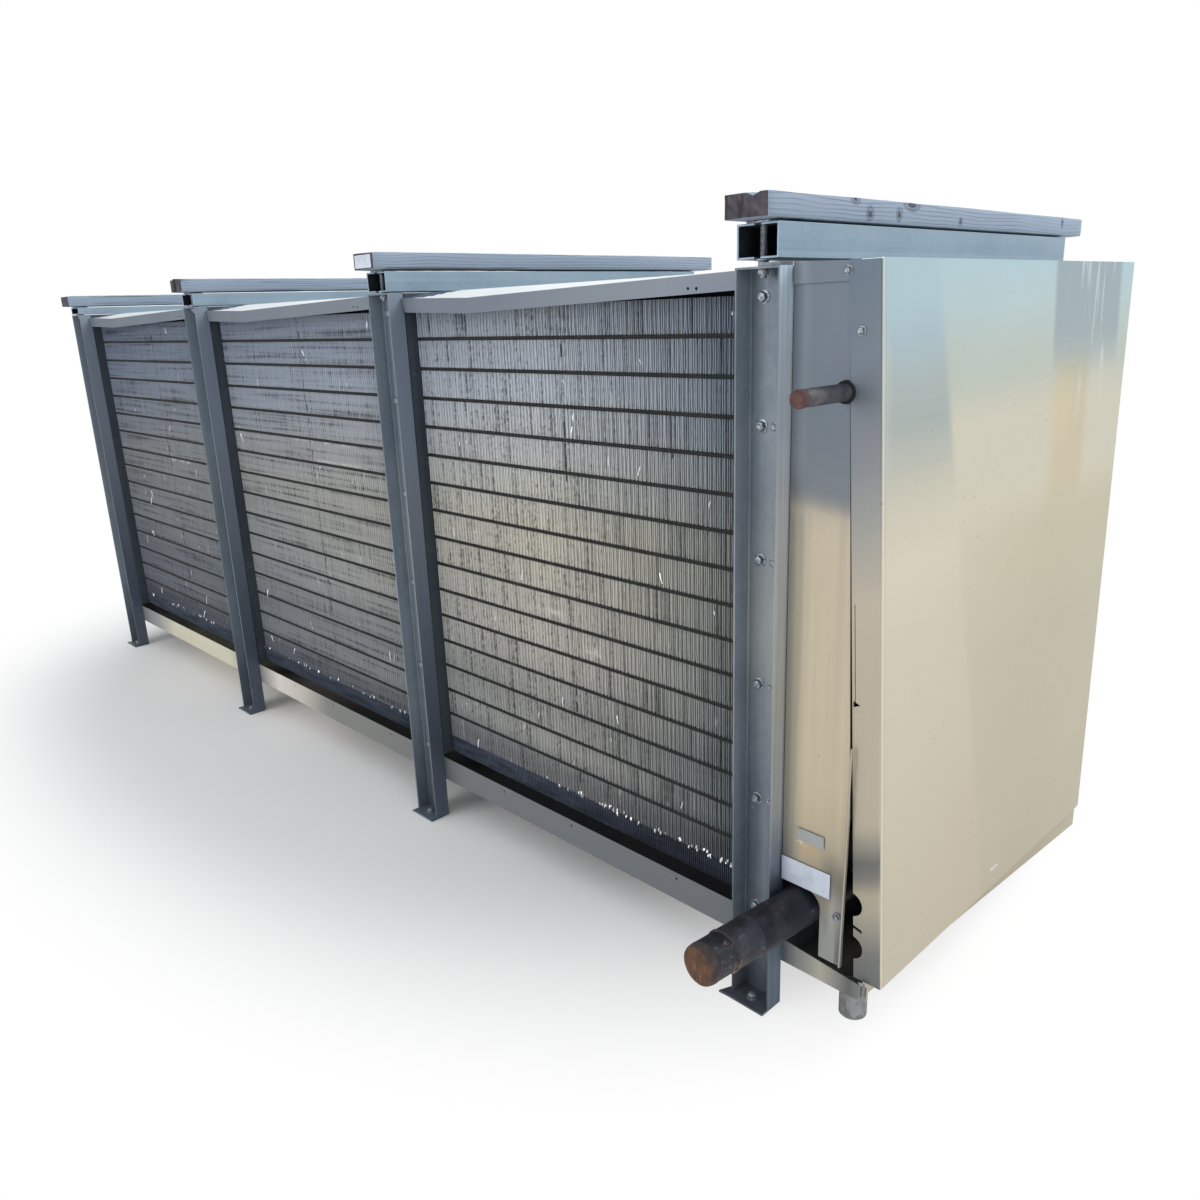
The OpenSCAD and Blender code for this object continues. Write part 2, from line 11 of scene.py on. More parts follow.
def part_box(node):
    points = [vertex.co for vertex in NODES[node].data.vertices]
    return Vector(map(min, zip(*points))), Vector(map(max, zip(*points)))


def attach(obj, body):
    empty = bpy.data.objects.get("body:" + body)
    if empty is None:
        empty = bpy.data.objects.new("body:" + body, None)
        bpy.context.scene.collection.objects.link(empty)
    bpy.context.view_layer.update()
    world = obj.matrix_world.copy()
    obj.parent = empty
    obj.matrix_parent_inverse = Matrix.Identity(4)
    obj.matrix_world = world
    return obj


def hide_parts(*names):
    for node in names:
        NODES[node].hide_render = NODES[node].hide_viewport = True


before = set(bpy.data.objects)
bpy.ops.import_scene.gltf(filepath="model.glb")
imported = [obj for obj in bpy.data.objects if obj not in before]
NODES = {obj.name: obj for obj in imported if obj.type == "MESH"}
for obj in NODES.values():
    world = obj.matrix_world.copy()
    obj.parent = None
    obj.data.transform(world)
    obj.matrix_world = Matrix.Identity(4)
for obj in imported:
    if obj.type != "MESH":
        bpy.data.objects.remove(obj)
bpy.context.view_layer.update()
MM = 0.001
BAYS = (1, 2, 3)
POSTS = (1, 2, 3, 4)


# ---- places

def corner_of(node, top=False):
    """A CAD piece's lowest corner, or its highest."""
    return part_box(node)[1 if top else 0]


# the near post's right face, the front of the posts, and the floor
POST_RIGHT = corner_of("front_post_4", True).x
POST_BACK = corner_of("front_post_4", True).y
POST_D = 0.048
POST_W = 0.102
POST_H = corner_of("front_post_4", True).z
FRONT = POST_BACK - POST_D
REAR = corner_of("rear_post_1").y
PITCH = (POST_RIGHT - corner_of("front_post_1", True).x) / 3
BEAM_FOOT = corner_of("hanger_beam_4").z
WEB_INNER = 0.044  # the front of a post's web, behind its flanges' edges
FOOT_LIP = 0.022  # how far a foot plate reaches past its post
ROD_INSET = 0.020  # the rods' place, from the posts' faces
SHEET_BEND = 0.0009


def at(x, y, z):
    """A point in millimetres from the near post's front foot corner, as a place in the frame."""
    return Vector((POST_RIGHT + x * MM, FRONT + y * MM, z * MM))


def post_x(i):
    """Right face of post i."""
    return POST_RIGHT - (4 - i) * PITCH


def bay(i):
    """Left and right end of bay i, between its posts."""
    return post_x(i), post_x(i + 1) - POST_W


# the coils' fin rows
FIN_FRONT = FRONT + 0.084
FIN_DEPTH = 0.560
FIN_FOOT = 0.265
ROW_PITCH = 0.081
ROW_GAP = 0.0094
ROWS = 16
FIN_PITCH = 0.0064
FIN_CUT = 0.032


# ---- shader writing

def tint(red, green, blue):
    """A colour given as 0 to 255 values, as the linear one that a shader takes."""
    def linear(v):
        v /= 255
        return v / 12.92 if v <= 0.04045 else ((v + 0.055) / 1.055) ** 2.4
    return (linear(red), linear(green), linear(blue), 1.0)


class Wire:
    """A socket of a finish, on which sums are written as on a number."""

    def __init__(self, finish, socket):
        self.finish = finish
        self.socket = socket

    def sum(self, operation, first, second):
        return self.finish.node("ShaderNodeMath", {0: first, 1: second}, {"operation": operation})

    def __add__(self, other):
        return self.sum("ADD", self, other)

    __radd__ = __add__

    def __sub__(self, other):
        return self.sum("SUBTRACT", self, other)

    def __rsub__(self, other):
        return self.sum("SUBTRACT", other, self)

    def __mul__(self, other):
        return self.sum("MULTIPLY", self, other)

    __rmul__ = __mul__

    def __truediv__(self, other):
        return self.sum("DIVIDE", self, other)

    def __pow__(self, other):
        return self.sum("POWER", self, other)

    def clamp(self, low, high):
        """0 at low and below, 1 at high and above, smooth in between."""
        return self.finish.node(
            "ShaderNodeMapRange", {"Value": self, "From Min": low, "From Max": high},
            {"interpolation_type": "SMOOTHSTEP", "clamp": True})


class Finish:
    """A material in the making."""

    def __init__(self, name, roughness=0.5, metallic=0.0, coat=0.0):
        self.material = bpy.data.materials.new(name)
        self.material.use_nodes = True
        self.tree = self.material.node_tree
        self.shader = self.tree.nodes["Principled BSDF"]
        self.shader.inputs["Roughness"].default_value = roughness
        self.shader.inputs["Metallic"].default_value = metallic
        self.shader.inputs["Coat Weight"].default_value = coat
        self.place = self.node("ShaderNodeTexCoord", {}, {}, "Object")
        self.relief = None

    def node(self, kind, sockets, settings=None, out=0):
        """Adds a node: its settings first, then the values or links of its sockets."""
        made = self.tree.nodes.new(kind)
        for name, value in (settings or {}).items():
            if name == "stops":
                ramp = made.color_ramp
                while len(ramp.elements) < len(value):
                    ramp.elements.new(0.5)
                for element, (at_value, colour) in zip(ramp.elements, value):
                    element.position = at_value
                    element.color = colour
            else:
                setattr(made, name, value)
        for name, value in sockets.items():
            self.plug(made.inputs[name], value)
        return Wire(self, made.outputs[out])

    def plug(self, socket, value):
        if isinstance(value, Wire):
            self.tree.links.new(value.socket, socket)
        else:
            socket.default_value = value

    def stretched(self, x, y, z, shift=(0, 0, 0)):
        """Object coordinates, scaled along the axes."""
        return self.node("ShaderNodeMapping",
                         {"Vector": self.place, "Scale": (x, y, z), "Location": shift})

    def noise(self, scale, detail=3.0, rough=0.55, place=None, twist=0.0):
        return self.node("ShaderNodeTexNoise",
                         {"Vector": place or self.place, "Scale": scale, "Detail": detail,
                          "Roughness": rough, "Distortion": twist})

    def streaks(self, scales, detail=3.0, rough=0.55, twist=0.0):
        """Noise that is drawn out or squeezed along the axes."""
        return self.noise(1.0, detail, rough, self.stretched(*scales), twist=twist)

    def cells(self, scale, place=None, out="Color"):
        return self.node("ShaderNodeTexVoronoi",
                         {"Vector": place or self.place, "Scale": scale}, {}, out)

    def axis(self, name):
        """One of the object coordinates, in metres."""
        return self.node("ShaderNodeSeparateXYZ", {"Vector": self.place}, {}, name)

    def ramp(self, value, *stops):
        """Colours along a value, each stop given as (place, colour)."""
        return self.node("ShaderNodeValToRGB", {"Fac": value},
                         {"stops": [(place, tint(*colour)) for place, colour in stops]})

    def mix(self, share, low, high, blend="MIX"):
        """The colour low where share is 0, and high where it is 1."""
        low, high = (c if isinstance(c, Wire) else tint(*c) for c in (low, high))
        return self.node("ShaderNodeMix", {0: share, 6: low, 7: high},
                         {"data_type": "RGBA", "blend_type": blend}, 2)

    def raise_by(self, height, strength=0.3, depth=0.001):
        """Adds a relief on top of those before it."""
        sockets = {"Height": height, "Strength": strength, "Distance": depth}
        if self.relief:
            sockets["Normal"] = self.relief
        self.relief = self.node("ShaderNodeBump", sockets)

    def done(self, colour, roughness=None):
        self.plug(self.shader.inputs["Base Color"], colour)
        if roughness is not None:
            self.plug(self.shader.inputs["Roughness"], roughness)
        if self.relief:
            self.plug(self.shader.inputs["Normal"], self.relief)
        return self.material


# ---- finishes

def galvanised(name, low, high, spangle=0.06, dirt=0.0, drawn=(30, 30, 0.8), line=None,
               warm=0.0):
    """Zinc-coated steel: drawn-out streaks, dull clouds and a faint spangle; warm adds painted
    light.
    """
    f = Finish(name, metallic=0.45)
    grains = f.node("ShaderNodeRGBToBW", {"Color": f.cells(60.0)})
    streaks = f.streaks(drawn, 4.0)
    clouds = f.noise(3.2, 3.0)
    share = (grains * spangle + streaks * 0.45 + clouds * (0.55 - spangle)).clamp(0.33, 0.67)
    colour = f.mix(share, low, high)
    scuffs = f.noise(26.0, 5.0, 0.7).clamp(0.62, 0.72)
    colour = f.mix(scuffs * 0.22, colour, (168, 172, 174))
    if dirt:
        foot = 1.0 - f.axis("Z").clamp(0.0, 0.55)
        grime = (foot * 0.6 + f.noise(14.0, 5.0) * foot).clamp(0.3, 1.1) * dirt
        colour = f.mix(grime, colour, (48, 52, 58))
        splash = f.noise(46.0, 4.0, 0.6).clamp(0.64, 0.70) * foot
        colour = f.mix(splash * 0.35, colour, (140, 132, 118))
    if warm:
        # painted light: a paler band at mid height, and lighter, bluer steel away from the near
        # post
        glow = band(f, f.axis("Z"), 0.90, 0.16, 0.22)
        colour = f.mix(glow * warm, colour, (160, 160, 152))
        painted_far_light = 1.0 - f.axis("X").clamp(POST_RIGHT - 0.3, POST_RIGHT - 0.2)
        colour = f.mix(painted_far_light * warm * 0.7, colour, (138, 150, 160))
    if line:
        groove = band(f, f.axis("Z"), line, 0.0003, 0.0009)
        colour = f.mix(groove * 0.45, colour, (84, 96, 108))
    f.raise_by(f.noise(120.0, 3.0), 0.10, 0.0005)
    return f.done(colour, share * -0.12 + 0.52)


def post_face():
    """The outer face of a post's right flange, a lit copy of the post steel in painted light: pale
    by the cabinet, with a painted pipe shadow low down and a painted sky reflection at the top,
    bluer on the other posts.
    """
    f = Finish("post_face_painted_light", metallic=0.3)
    z = f.axis("Z")
    streaks = f.streaks((60, 60, 0.9), 4.0)
    # painted light on the near post: a painted pipe shadow low down, pale above, a painted sky
    # reflection at the top
    near = f.ramp(z / 1.6, (0.0, (118, 134, 150)), (0.09, (112, 126, 142)),
                  (0.17, (66, 78, 98)), (0.24, (128, 134, 146)), (0.31, (176, 180, 182)),
                  (0.46, (184, 183, 178)), (0.74, (196, 198, 200)), (1.0, (196, 212, 226)))
    far = f.mix(z.clamp(0.1, 1.3), (78, 88, 102), (126, 138, 152))
    colour = f.mix(f.axis("X").clamp(POST_RIGHT - 0.06, POST_RIGHT - 0.05), far, near)
    colour = f.mix(streaks.clamp(0.35, 0.65) * 0.30, colour,
                   f.mix(z.clamp(0.3, 1.4), (84, 94, 108), (132, 140, 148)))
    scuffs = f.noise(30.0, 5.0, 0.7).clamp(0.60, 0.72)
    colour = f.mix(scuffs * 0.25, colour, (150, 152, 152))
    f.raise_by(f.noise(120.0, 3.0), 0.10, 0.0005)
    return f.done(colour, streaks * 0.1 + 0.42)


def band(f, value, middle, half, soft):
    """1 where a value is near its middle, 0 away from it."""
    return (value - (middle - half)).clamp(-soft,
                                           soft) * (1.0
                                                    - (value - (middle + half)).clamp(-soft, soft))


def worn_sheet(f, colour, brushed, strength=0.06):
    """Adds brushing, scratches and specks to a sheet's colour."""
    shade = (brushed - 0.5) * strength + (f.noise(5.0, 5.0, 0.6) - 0.5) * 0.05 + 1.0
    grey = f.node("ShaderNodeCombineColor", {"Red": shade, "Green": shade, "Blue": shade})
    colour = f.mix(1.0, colour, grey, "MULTIPLY")
    speck = (1.0 - f.cells(24.0, out="Distance")).clamp(0.93, 0.97) * f.noise(4.0).clamp(0.52, 0.60)
    colour = f.mix(speck * 0.5, colour, (96, 94, 86))
    nick = f.streaks((20, 160, 420), 2.0, 0.5).clamp(0.70, 0.74)
    return f.mix(nick * 0.25, colour, (122, 122, 112))


def dented_sheet(f, colour, grain, dents, gloss, rough, strength=0.2, depth=0.008, wear=0.06):
    """Finishes a sheet: wear along its grain, shallow dents and a brushed gloss."""
    brushed = f.streaks(grain)
    colour = worn_sheet(f, colour, brushed, wear)
    f.raise_by(f.noise(dents, 1.0), strength, depth)
    return f.done(colour, brushed * gloss + rough)


def plain_sheet(name, low, high, rough=0.38, metallic=0.45):
    """Mill-finish sheet in one tone."""
    f = Finish(name, metallic=metallic)
    colour = f.mix(f.noise(2.2, 3.0).clamp(0.3, 0.7), low, high)
    return dented_sheet(f, colour, (2.2, 200, 200), 2.4, 0.15, rough)


def panel_sheet():
    """The front panel in painted reflections: blue-grey sky above, warm ground below, painted shade
    beside the post with painted light above it, a painted dark reflection by the plate, stained low
    down.
    """
    f = Finish("panel_sheet", metallic=0.35)
    x = f.axis("X") - POST_RIGHT
    z = f.axis("Z")
    wander = f.streaks((9, 1, 3), 2.0) * 0.03 - 0.015
    # painted reflections by height: blue-grey above, warm below, a dark band between, painted shade
    # at the foot
    colour = f.ramp((z + wander + x * 0.10) / 1.6,
                    (0.0, (104, 110, 116)), (0.10, (108, 113, 118)), (0.175, (124, 124, 120)),
                    (0.245, (174, 163, 142)), (0.38, (184, 171, 148)),
                    (0.694, (168, 157, 141)), (0.722, (160, 150, 138)), (0.735, (128, 127, 124)),
                    (0.748, (108, 113, 117)), (0.80, (98, 107, 115)), (1.0, (93, 102, 114)))
    # painted light beside the post, high up
    high = z.clamp(1.18, 1.26) * (1.0 - x.clamp(0.012, 0.050))
    colour = f.mix(high * 0.6, colour, (128, 136, 142))
    # painted shade beside the post, below the dark band
    edge = 1.0 - x.clamp(0.012, 0.056)
    low_part = 1.0 - z.clamp(1.12, 1.18)
    warm_part = low_part * z.clamp(0.36, 0.50)
    colour = f.mix(edge * low_part * 0.8, colour, (116, 120, 118))
    bands = f.streaks((34, 34, 0.5), 3.0, 0.6).clamp(0.3, 0.7)
    colour = f.mix(bands * warm_part * 0.30, colour, (208, 195, 160))
    pale = f.streaks((26, 26, 1.6), 2.0).clamp(0.52, 0.66) * (1.0 - z.clamp(0.30, 0.42))
    colour = f.mix(pale * 0.45, colour, (196, 196, 188))
    patch = band(f, z, 0.420, 0.020, 0.030) * band(f, x, 0.075, 0.022, 0.024)
    stain = patch * f.noise(42.0, 5.0, 0.65).clamp(0.40, 0.60)
    colour = f.mix(stain * 0.75, colour, (200, 164, 122))
    rim = band(f, z, 0.436, 0.006, 0.010) * band(f, x, 0.050, 0.012, 0.014)
    colour = f.mix(rim * f.noise(120.0, 4.0).clamp(0.45, 0.60) * 0.7, colour, (236, 226, 190))
    # a painted dark reflection below the plate, away from the post
    painted_dark_reflection = band(f, z + x * 0.35, 0.425, 0.030, 0.055) * x.clamp(0.085, 0.13)
    colour = f.mix(painted_dark_reflection * 0.8, colour, (92, 95, 98))
    return dented_sheet(f, colour, (220, 220, 2.0), 2.6, 0.12, 0.36)


def flange_sheet():
    """The cover's narrow front face in painted reflections: blue-grey above, warm below, and one
    painted dark reflection low down.
    """
    f = Finish("cover_flange_sheet", metallic=0.4)
    x = f.axis("X") - POST_RIGHT
    z = f.axis("Z") + (f.streaks((12, 12, 3.0), 2.0) - 0.5) * 0.04
    z = z - (x - 0.20) * 0.45
    # painted reflections by height, the painted dark reflection between 0.256 and 0.278
    colour = f.ramp(z / 1.6, (0.0, (112, 115, 116)), (0.095, (104, 107, 106)),
                    (0.14, (120, 121, 116)), (0.205, (170, 163, 145)), (0.232, (172, 164, 144)),
                    (0.256, (126, 123, 116)), (0.278, (112, 111, 108)),
                    (0.302, (150, 145, 132)), (0.330, (182, 171, 153)),
                    (0.50, (176, 165, 147)), (0.62, (176, 165, 148)), (0.71, (146, 145, 139)),
                    (0.79, (120, 122, 126)), (0.87, (104, 112, 120)), (1.0, (86, 97, 110)))
    return dented_sheet(f, colour, (220, 220, 2.0), 3.0, 0.12, 0.36, depth=0.006)


def cover_sheet():
    """The cover's broad side: a painted sky reflection pale blue high up, a painted ground
    reflection warm below, painted shade towards the rear low down, a painted highlight and shade
    line along the front fold, drip marks and long soft creases.
    """
    f = Finish("cover_sheet", metallic=0.35)
    y = f.axis("Y") - FRONT
    z = f.axis("Z")
    level = (z + f.noise(2.6, 2.0) * 0.05 - 0.025) / 1.6
    split = y - (1.529 - z) * 0.22 - 0.245
    strip = 1.0 - split.clamp(-0.012, 0.022)
    # painted sky and ground reflections by height, lower in the strip by the front
    main = f.ramp(level, (0.12, (174, 167, 150)), (0.31, (175, 170, 152)), (0.47, (177, 172, 154)),
                  (0.60, (185, 181, 160)), (0.68, (192, 186, 166)), (0.805, (199, 193, 175)),
                  (0.862, (182, 188, 176)), (0.91, (180, 191, 184)), (0.956, (178, 196, 197)),
                  (1.0, (173, 197, 203)))
    beside = f.ramp(level, (0.20, (180, 171, 152)), (0.40, (184, 176, 158)),
                    (0.55, (187, 180, 161)),
                    (0.66, (196, 189, 169)), (0.735, (191, 185, 167)), (0.78, (175, 176, 165)),
                    (0.825, (161, 168, 163)), (0.87, (165, 175, 172)), (0.915, (165, 183, 189)),
                    (0.956, (170, 192, 199)))
    colour = f.mix(strip, main, beside)
    rim = (1.0 - y.clamp(0.03, 0.085)) * z.clamp(1.15, 1.3) * (1.0 - z.clamp(1.42, 1.52))
    colour = f.mix(rim * 0.5, colour, (196, 200, 190))
    # painted shade: darker towards the rear, low down
    far = y.clamp(0.05, 0.90) * (1.0 - z.clamp(1.00, 1.14))
    colour = f.mix(far * 0.85 + 0.08, colour, (240, 236, 225), "MULTIPLY")
    yellow = y.clamp(0.76, 0.86) * z.clamp(1.02, 1.12)
    yellow = yellow * (1.0 - z.clamp(1.36, 1.45)) * (1.0 - y.clamp(0.98, 1.03))
    colour = f.mix(yellow, colour, (250, 242, 228), "MULTIPLY")
    low = 1.0 - z.clamp(0.12, 0.62)
    colour = f.mix(low * 0.25, colour, (172, 162, 142))
    drips = f.streaks((1, 26, 2.2), 3.0, 0.6, twist=0.6).clamp(0.56, 0.64)
    drips = drips * band(f, y, 1.00, 0.13, 0.05) * z.clamp(1.18, 1.46)
    dark = band(f, y - (1.6 - z) * 0.06, 0.970, 0.200, 0.012) * z.clamp(1.33, 1.46)
    colour = f.mix(dark * 0.8, colour, (146, 158, 163))
    warm = band(f, y, 0.86, 0.05, 0.05) * band(f, z, 1.28, 0.07, 0.07)
    colour = f.mix(warm * 0.35, colour, (210, 194, 152))
    colour = f.mix(drips * 0.55, colour, (206, 216, 212))
    # a painted highlight and a painted shade line along the front fold
    painted_fold_light = y - 0.036 - (1.6028 - z) * 0.0125
    colour = f.mix(band(f, painted_fold_light, 0.005, 0.003, 0.002) * 0.5, colour, (214, 206, 190))
    colour = f.mix(band(f, painted_fold_light, 0.0115, 0.0006, 0.0012) * 0.45, colour, (112, 104, 88))
    scuff = f.streaks((1, 30, 150), 2.0, 0.6).clamp(0.66, 0.70) * f.noise(3.0).clamp(0.5, 0.6)
    colour = f.mix(scuff * 0.5, colour, (140, 138, 120))
    brushed = f.streaks((200, 200, 1.6))
    colour = worn_sheet(f, colour, brushed, 0.04)
    torn = band(f, y, 0.622, 0.020, 0.008) * band(f, z + (y - 0.6) * 0.10, 0.182, 0.004, 0.004)
    colour = f.mix(torn * f.noise(110.0, 4.0, 0.75).clamp(0.42, 0.56), colour, (206, 208, 218))
    foot = z - 0.160 + (y - 0.054) * (0.061 / 1.025)
    colour = f.mix(band(f, foot, 0.0, 0.0008, 0.0010) * y.clamp(0.88, 0.97) * 0.8, colour,
                   (66, 68, 72))
    f.raise_by(f.noise(1.7, 1.0), 0.25, 0.010)
    crease = band(f, y + (0.835 - z) * -0.03, 0.755, 0.0005, 0.004) * band(f, z, 0.68, 0.16, 0.02)
    f.raise_by(crease, 0.6, -0.0012)
    fold = band(f, y - (1.6 - z) * 0.10, 0.905, 0.0008, 0.006) * z.clamp(1.15, 1.40)
    f.raise_by(fold, 0.5, 0.0015)
    return f.done(colour, brushed * 0.10 + 0.40)


def weathered_timber():
    """Grey sawn softwood with dark grain lines along it, knots and checks."""
    f = Finish("timber_grey", roughness=0.85)
    bend = f.noise(2.2, 2.0, place=f.stretched(5, 1.2, 5))
    across = f.axis("Z") * 118 + f.axis("X") * 70 + bend * 3.2
    line = f.node("ShaderNodeMath", {0: across * 6.28}, {"operation": "SINE"}) * 0.5 + 0.5
    fibre = f.streaks((160, 5, 320), 5.0, 0.7)
    patchy = f.noise(3.0, 3.0).clamp(0.35, 0.65)
    colour = f.mix(fibre * 0.55, (148, 163, 180), (108, 118, 132))
    colour = f.mix(line ** 9 * (patchy * 0.45 + 0.15), colour, (56, 62, 78))
    knots = f.cells(1.0, place=f.stretched(7.0, 3.2, 14.0), out="Distance")
    colour = f.mix((1.0 - knots.clamp(0.06, 0.17)) * 0.75, colour, (58, 58, 66))
    y = f.axis("Y") - FRONT
    z = f.axis("Z")
    side = f.axis("X").clamp(POST_RIGHT - 0.02, POST_RIGHT - 0.012)
    for place, height, wide, tall in ((0.245, 1.722, 0.022, 0.013), (0.298, 1.697, 0.018, 0.018),
                                      (0.411, 1.699, 0.016, 0.017), (0.462, 1.720, 0.040, 0.015),
                                      (0.679, 1.694, 0.012, 0.012), (1.245, 1.710, 0.010, 0.018)):
        away = f.node("ShaderNodeVectorMath",
                      {0: f.node("ShaderNodeCombineXYZ",
                                 {"X": (y - place) / wide, "Y": (z - height) / tall})},
                      {"operation": "LENGTH"}, "Value")
        away = away + (fibre - 0.5) * 0.9
        ring = f.node("ShaderNodeMath", {0: away * 9.0}, {"operation": "SINE"}) * 0.35 + 0.6
        knot = (1.0 - away.clamp(0.55, 1.0)) * side
        colour = f.mix(knot * ring, colour, (36, 38, 56))
    check = f.streaks((90, 1.6, 130), 2.0, 0.5).clamp(0.67, 0.70)
    colour = f.mix(check * 0.7, colour, (52, 54, 64))
    f.raise_by(fibre + line * 0.3, 0.45, 0.0012)
    return f.done(colour, 0.78 + fibre * 0.15)


def timber_end():
    """Dark end grain with growth rings and splits."""
    f = Finish("timber_end", roughness=0.9)
    rings = f.node("ShaderNodeTexWave", {"Vector": f.stretched(1, 1, 1, shift=(0.3, 0, 0.4)),
                                         "Scale": 18.0, "Distortion": 3.0, "Detail": 2.0},
                   {"wave_type": "RINGS", "rings_direction": "Y"}, "Fac")
    pores = f.noise(420.0, 3.0)
    split = f.streaks((60, 4, 9)).clamp(0.56, 0.66)
    blotch = f.noise(60.0, 4.0, 0.65).clamp(0.35, 0.65)
    colour = f.mix(rings * 0.18 + pores * 0.3 + blotch * 0.5, (46, 44, 52), (92, 84, 92))
    colour = f.mix(split * 0.7, colour, (30, 28, 32))
    f.raise_by(pores, 0.6, 0.0012)
    return f.done(colour)


def pan_sheet():
    """Pan sheet: grey at the near end, pale at the far end, with soft cross bands; its brightest
    bands are painted highlights.
    """
    f = Finish("pan_sheet", metallic=0.35)
    x = POST_RIGHT - f.axis("X")
    wander = (f.streaks((3.0, 1.0, 8.0), 2.0) - 0.5) * 0.16
    # the bright band at 0.555 to 0.60 is a painted highlight
    colour = f.ramp((x + wander) / 4.0, (0.0, (112, 116, 120)), (0.25, (114, 116, 120)),
                    (0.50, (132, 132, 126)), (0.555, (200, 192, 184)), (0.60, (230, 221, 213)),
                    (0.655, (146, 146, 142)), (0.72, (216, 210, 186)), (0.86, (212, 205, 184)),
                    (0.92, (150, 150, 148)), (1.0, (140, 142, 144)))
    # the end pan's bright band is a painted highlight
    near = f.ramp(x * -4.5, (0.0, (98, 104, 108)), (0.30, (152, 152, 146)),
                  (0.46, (184, 178, 164)), (0.60, (154, 152, 144)), (0.78, (100, 102, 102)),
                  (1.0, (150, 150, 142)))
    colour = f.mix((x * -1.0).clamp(0.0, 0.004), colour, near)
    return dented_sheet(f, colour, (2.0, 200, 200), 3.0, 0.15, 0.34, strength=0.25, wear=0.08)


def fin_metal(name, dark, middle, bright, rough=0.5):
    """Thin fins: each catches the light differently, dusty and bent in places, with painted shade
    deeper between them, painted light and shade by height and along the unit, and painted glints.
    """
    f = Finish(name, roughness=rough)
    left = (POST_RIGHT - f.axis("X")).clamp(0.35, 0.75)
    single = f.node("ShaderNodeAttribute", {}, {"attribute_name": "fin_tone"}, "Fac")
    ripple = f.streaks((150, 2, 72), 1.0, 0.5, twist=0.4)
    grain = f.streaks((260, 20, 60), 3.0, 0.7)
    tubes = f.streaks((2, 2, 85), 1.0, 0.5)
    far = (POST_RIGHT - f.axis("X")).clamp(1.25, 1.35)
    share = single * (0.55 - far * 0.30) + (grain - 0.5) * (0.4 - far * 0.1)
    share = share + (tubes - 0.5) * (0.2 + far * 1.1)
    share = share + (ripple - 0.5) * (left * 0.8 + 0.1 - far * 0.6) + 0.29 + far * 0.15
    colour = f.ramp(share, (0.14, dark), (0.5, middle), (0.8, bright))
    # painted shade: darker deeper between the fins
    inward = (f.axis("Y") - FIN_FRONT).clamp(0.0005, 0.0070)
    colour = f.mix(inward * 0.60, colour, (128, 128, 130), "MULTIPLY")
    z = f.axis("Z")
    # painted light and shade by height: darker at the foot and top, warm low, bluer high
    tone = f.ramp(z / 1.6, (0.0, (140, 144, 154)), (0.19, (176, 176, 178)), (0.24, (224, 223, 219)),
                  (0.31, (216, 215, 212)), (0.42, (246, 242, 234)), (0.62, (255, 250, 237)),
                  (0.84, (240, 246, 255)), (1.0, (206, 214, 228)))
    # painted light along the unit: darker by the near post and in the far bays
    away = f.ramp((POST_RIGHT - f.axis("X")) / 4.0, (0.045, (190, 198, 206)),
                  (0.07, (214, 219, 224)),
                  (0.10, (224, 227, 229)), (0.14, (240, 241, 243)), (0.20, (255, 255, 255)),
                  (0.36, (234, 237, 243)), (0.60, (206, 211, 222)), (1.0, (156, 164, 180)))
    colour = f.mix(1.0, f.mix(1.0, colour, tone, "MULTIPLY"), away, "MULTIPLY")
    # painted glints
    painted_glint = f.streaks((60, 2, 5.5), 3.0, 0.6).clamp(0.66, 0.72)
    colour = f.mix(painted_glint * 0.7, colour, (246, 244, 236))
    x = f.axis("X") - POST_RIGHT
    for along, height, half, tall in SMEARS:
        smear = band(f, x, along, half, half * 0.3) * band(f, z, height, tall, tall)
        colour = f.mix(smear * f.noise(40.0, 4.0).clamp(0.35, 0.60) * 0.8, colour, (250, 248, 240))
    return f.done(colour, 0.42 + grain * 0.3)


def dark_metal(name, low, high, rough=0.6, metallic=0.4):
    """Shaded inner steel with a little dust."""
    f = Finish(name, metallic=metallic)
    dust = f.noise(30.0, 5.0)
    colour = f.mix(dust.clamp(0.4, 0.8), low, high)
    f.raise_by(dust, 0.2, 0.0008)
    return f.done(colour, dust * 0.2 + rough)


def sill_steel():
    """The sill under the fins: dull steel, darker towards the near post."""
    f = Finish("sill_steel", metallic=0.4)
    near = f.axis("X").clamp(POST_RIGHT - 1.1, POST_RIGHT - 0.25)
    streaks = f.streaks((7, 7, 60), 4.0, 0.6)
    colour = f.mix(near, (94, 104, 118), (64, 69, 82))
    colour = f.mix(streaks.clamp(0.40, 0.70) * 0.7, colour, f.mix(near, (50, 58, 70), (32, 35, 43)))
    flecks = f.streaks((160, 160, 60), 3.0, 0.7).clamp(0.62, 0.70)
    colour = f.mix(flecks * (1.0 - near * 0.6) * 0.5, colour, (176, 182, 186))
    f.raise_by(streaks, 0.2, 0.0008)
    return f.done(colour, streaks * 0.2 + 0.42)


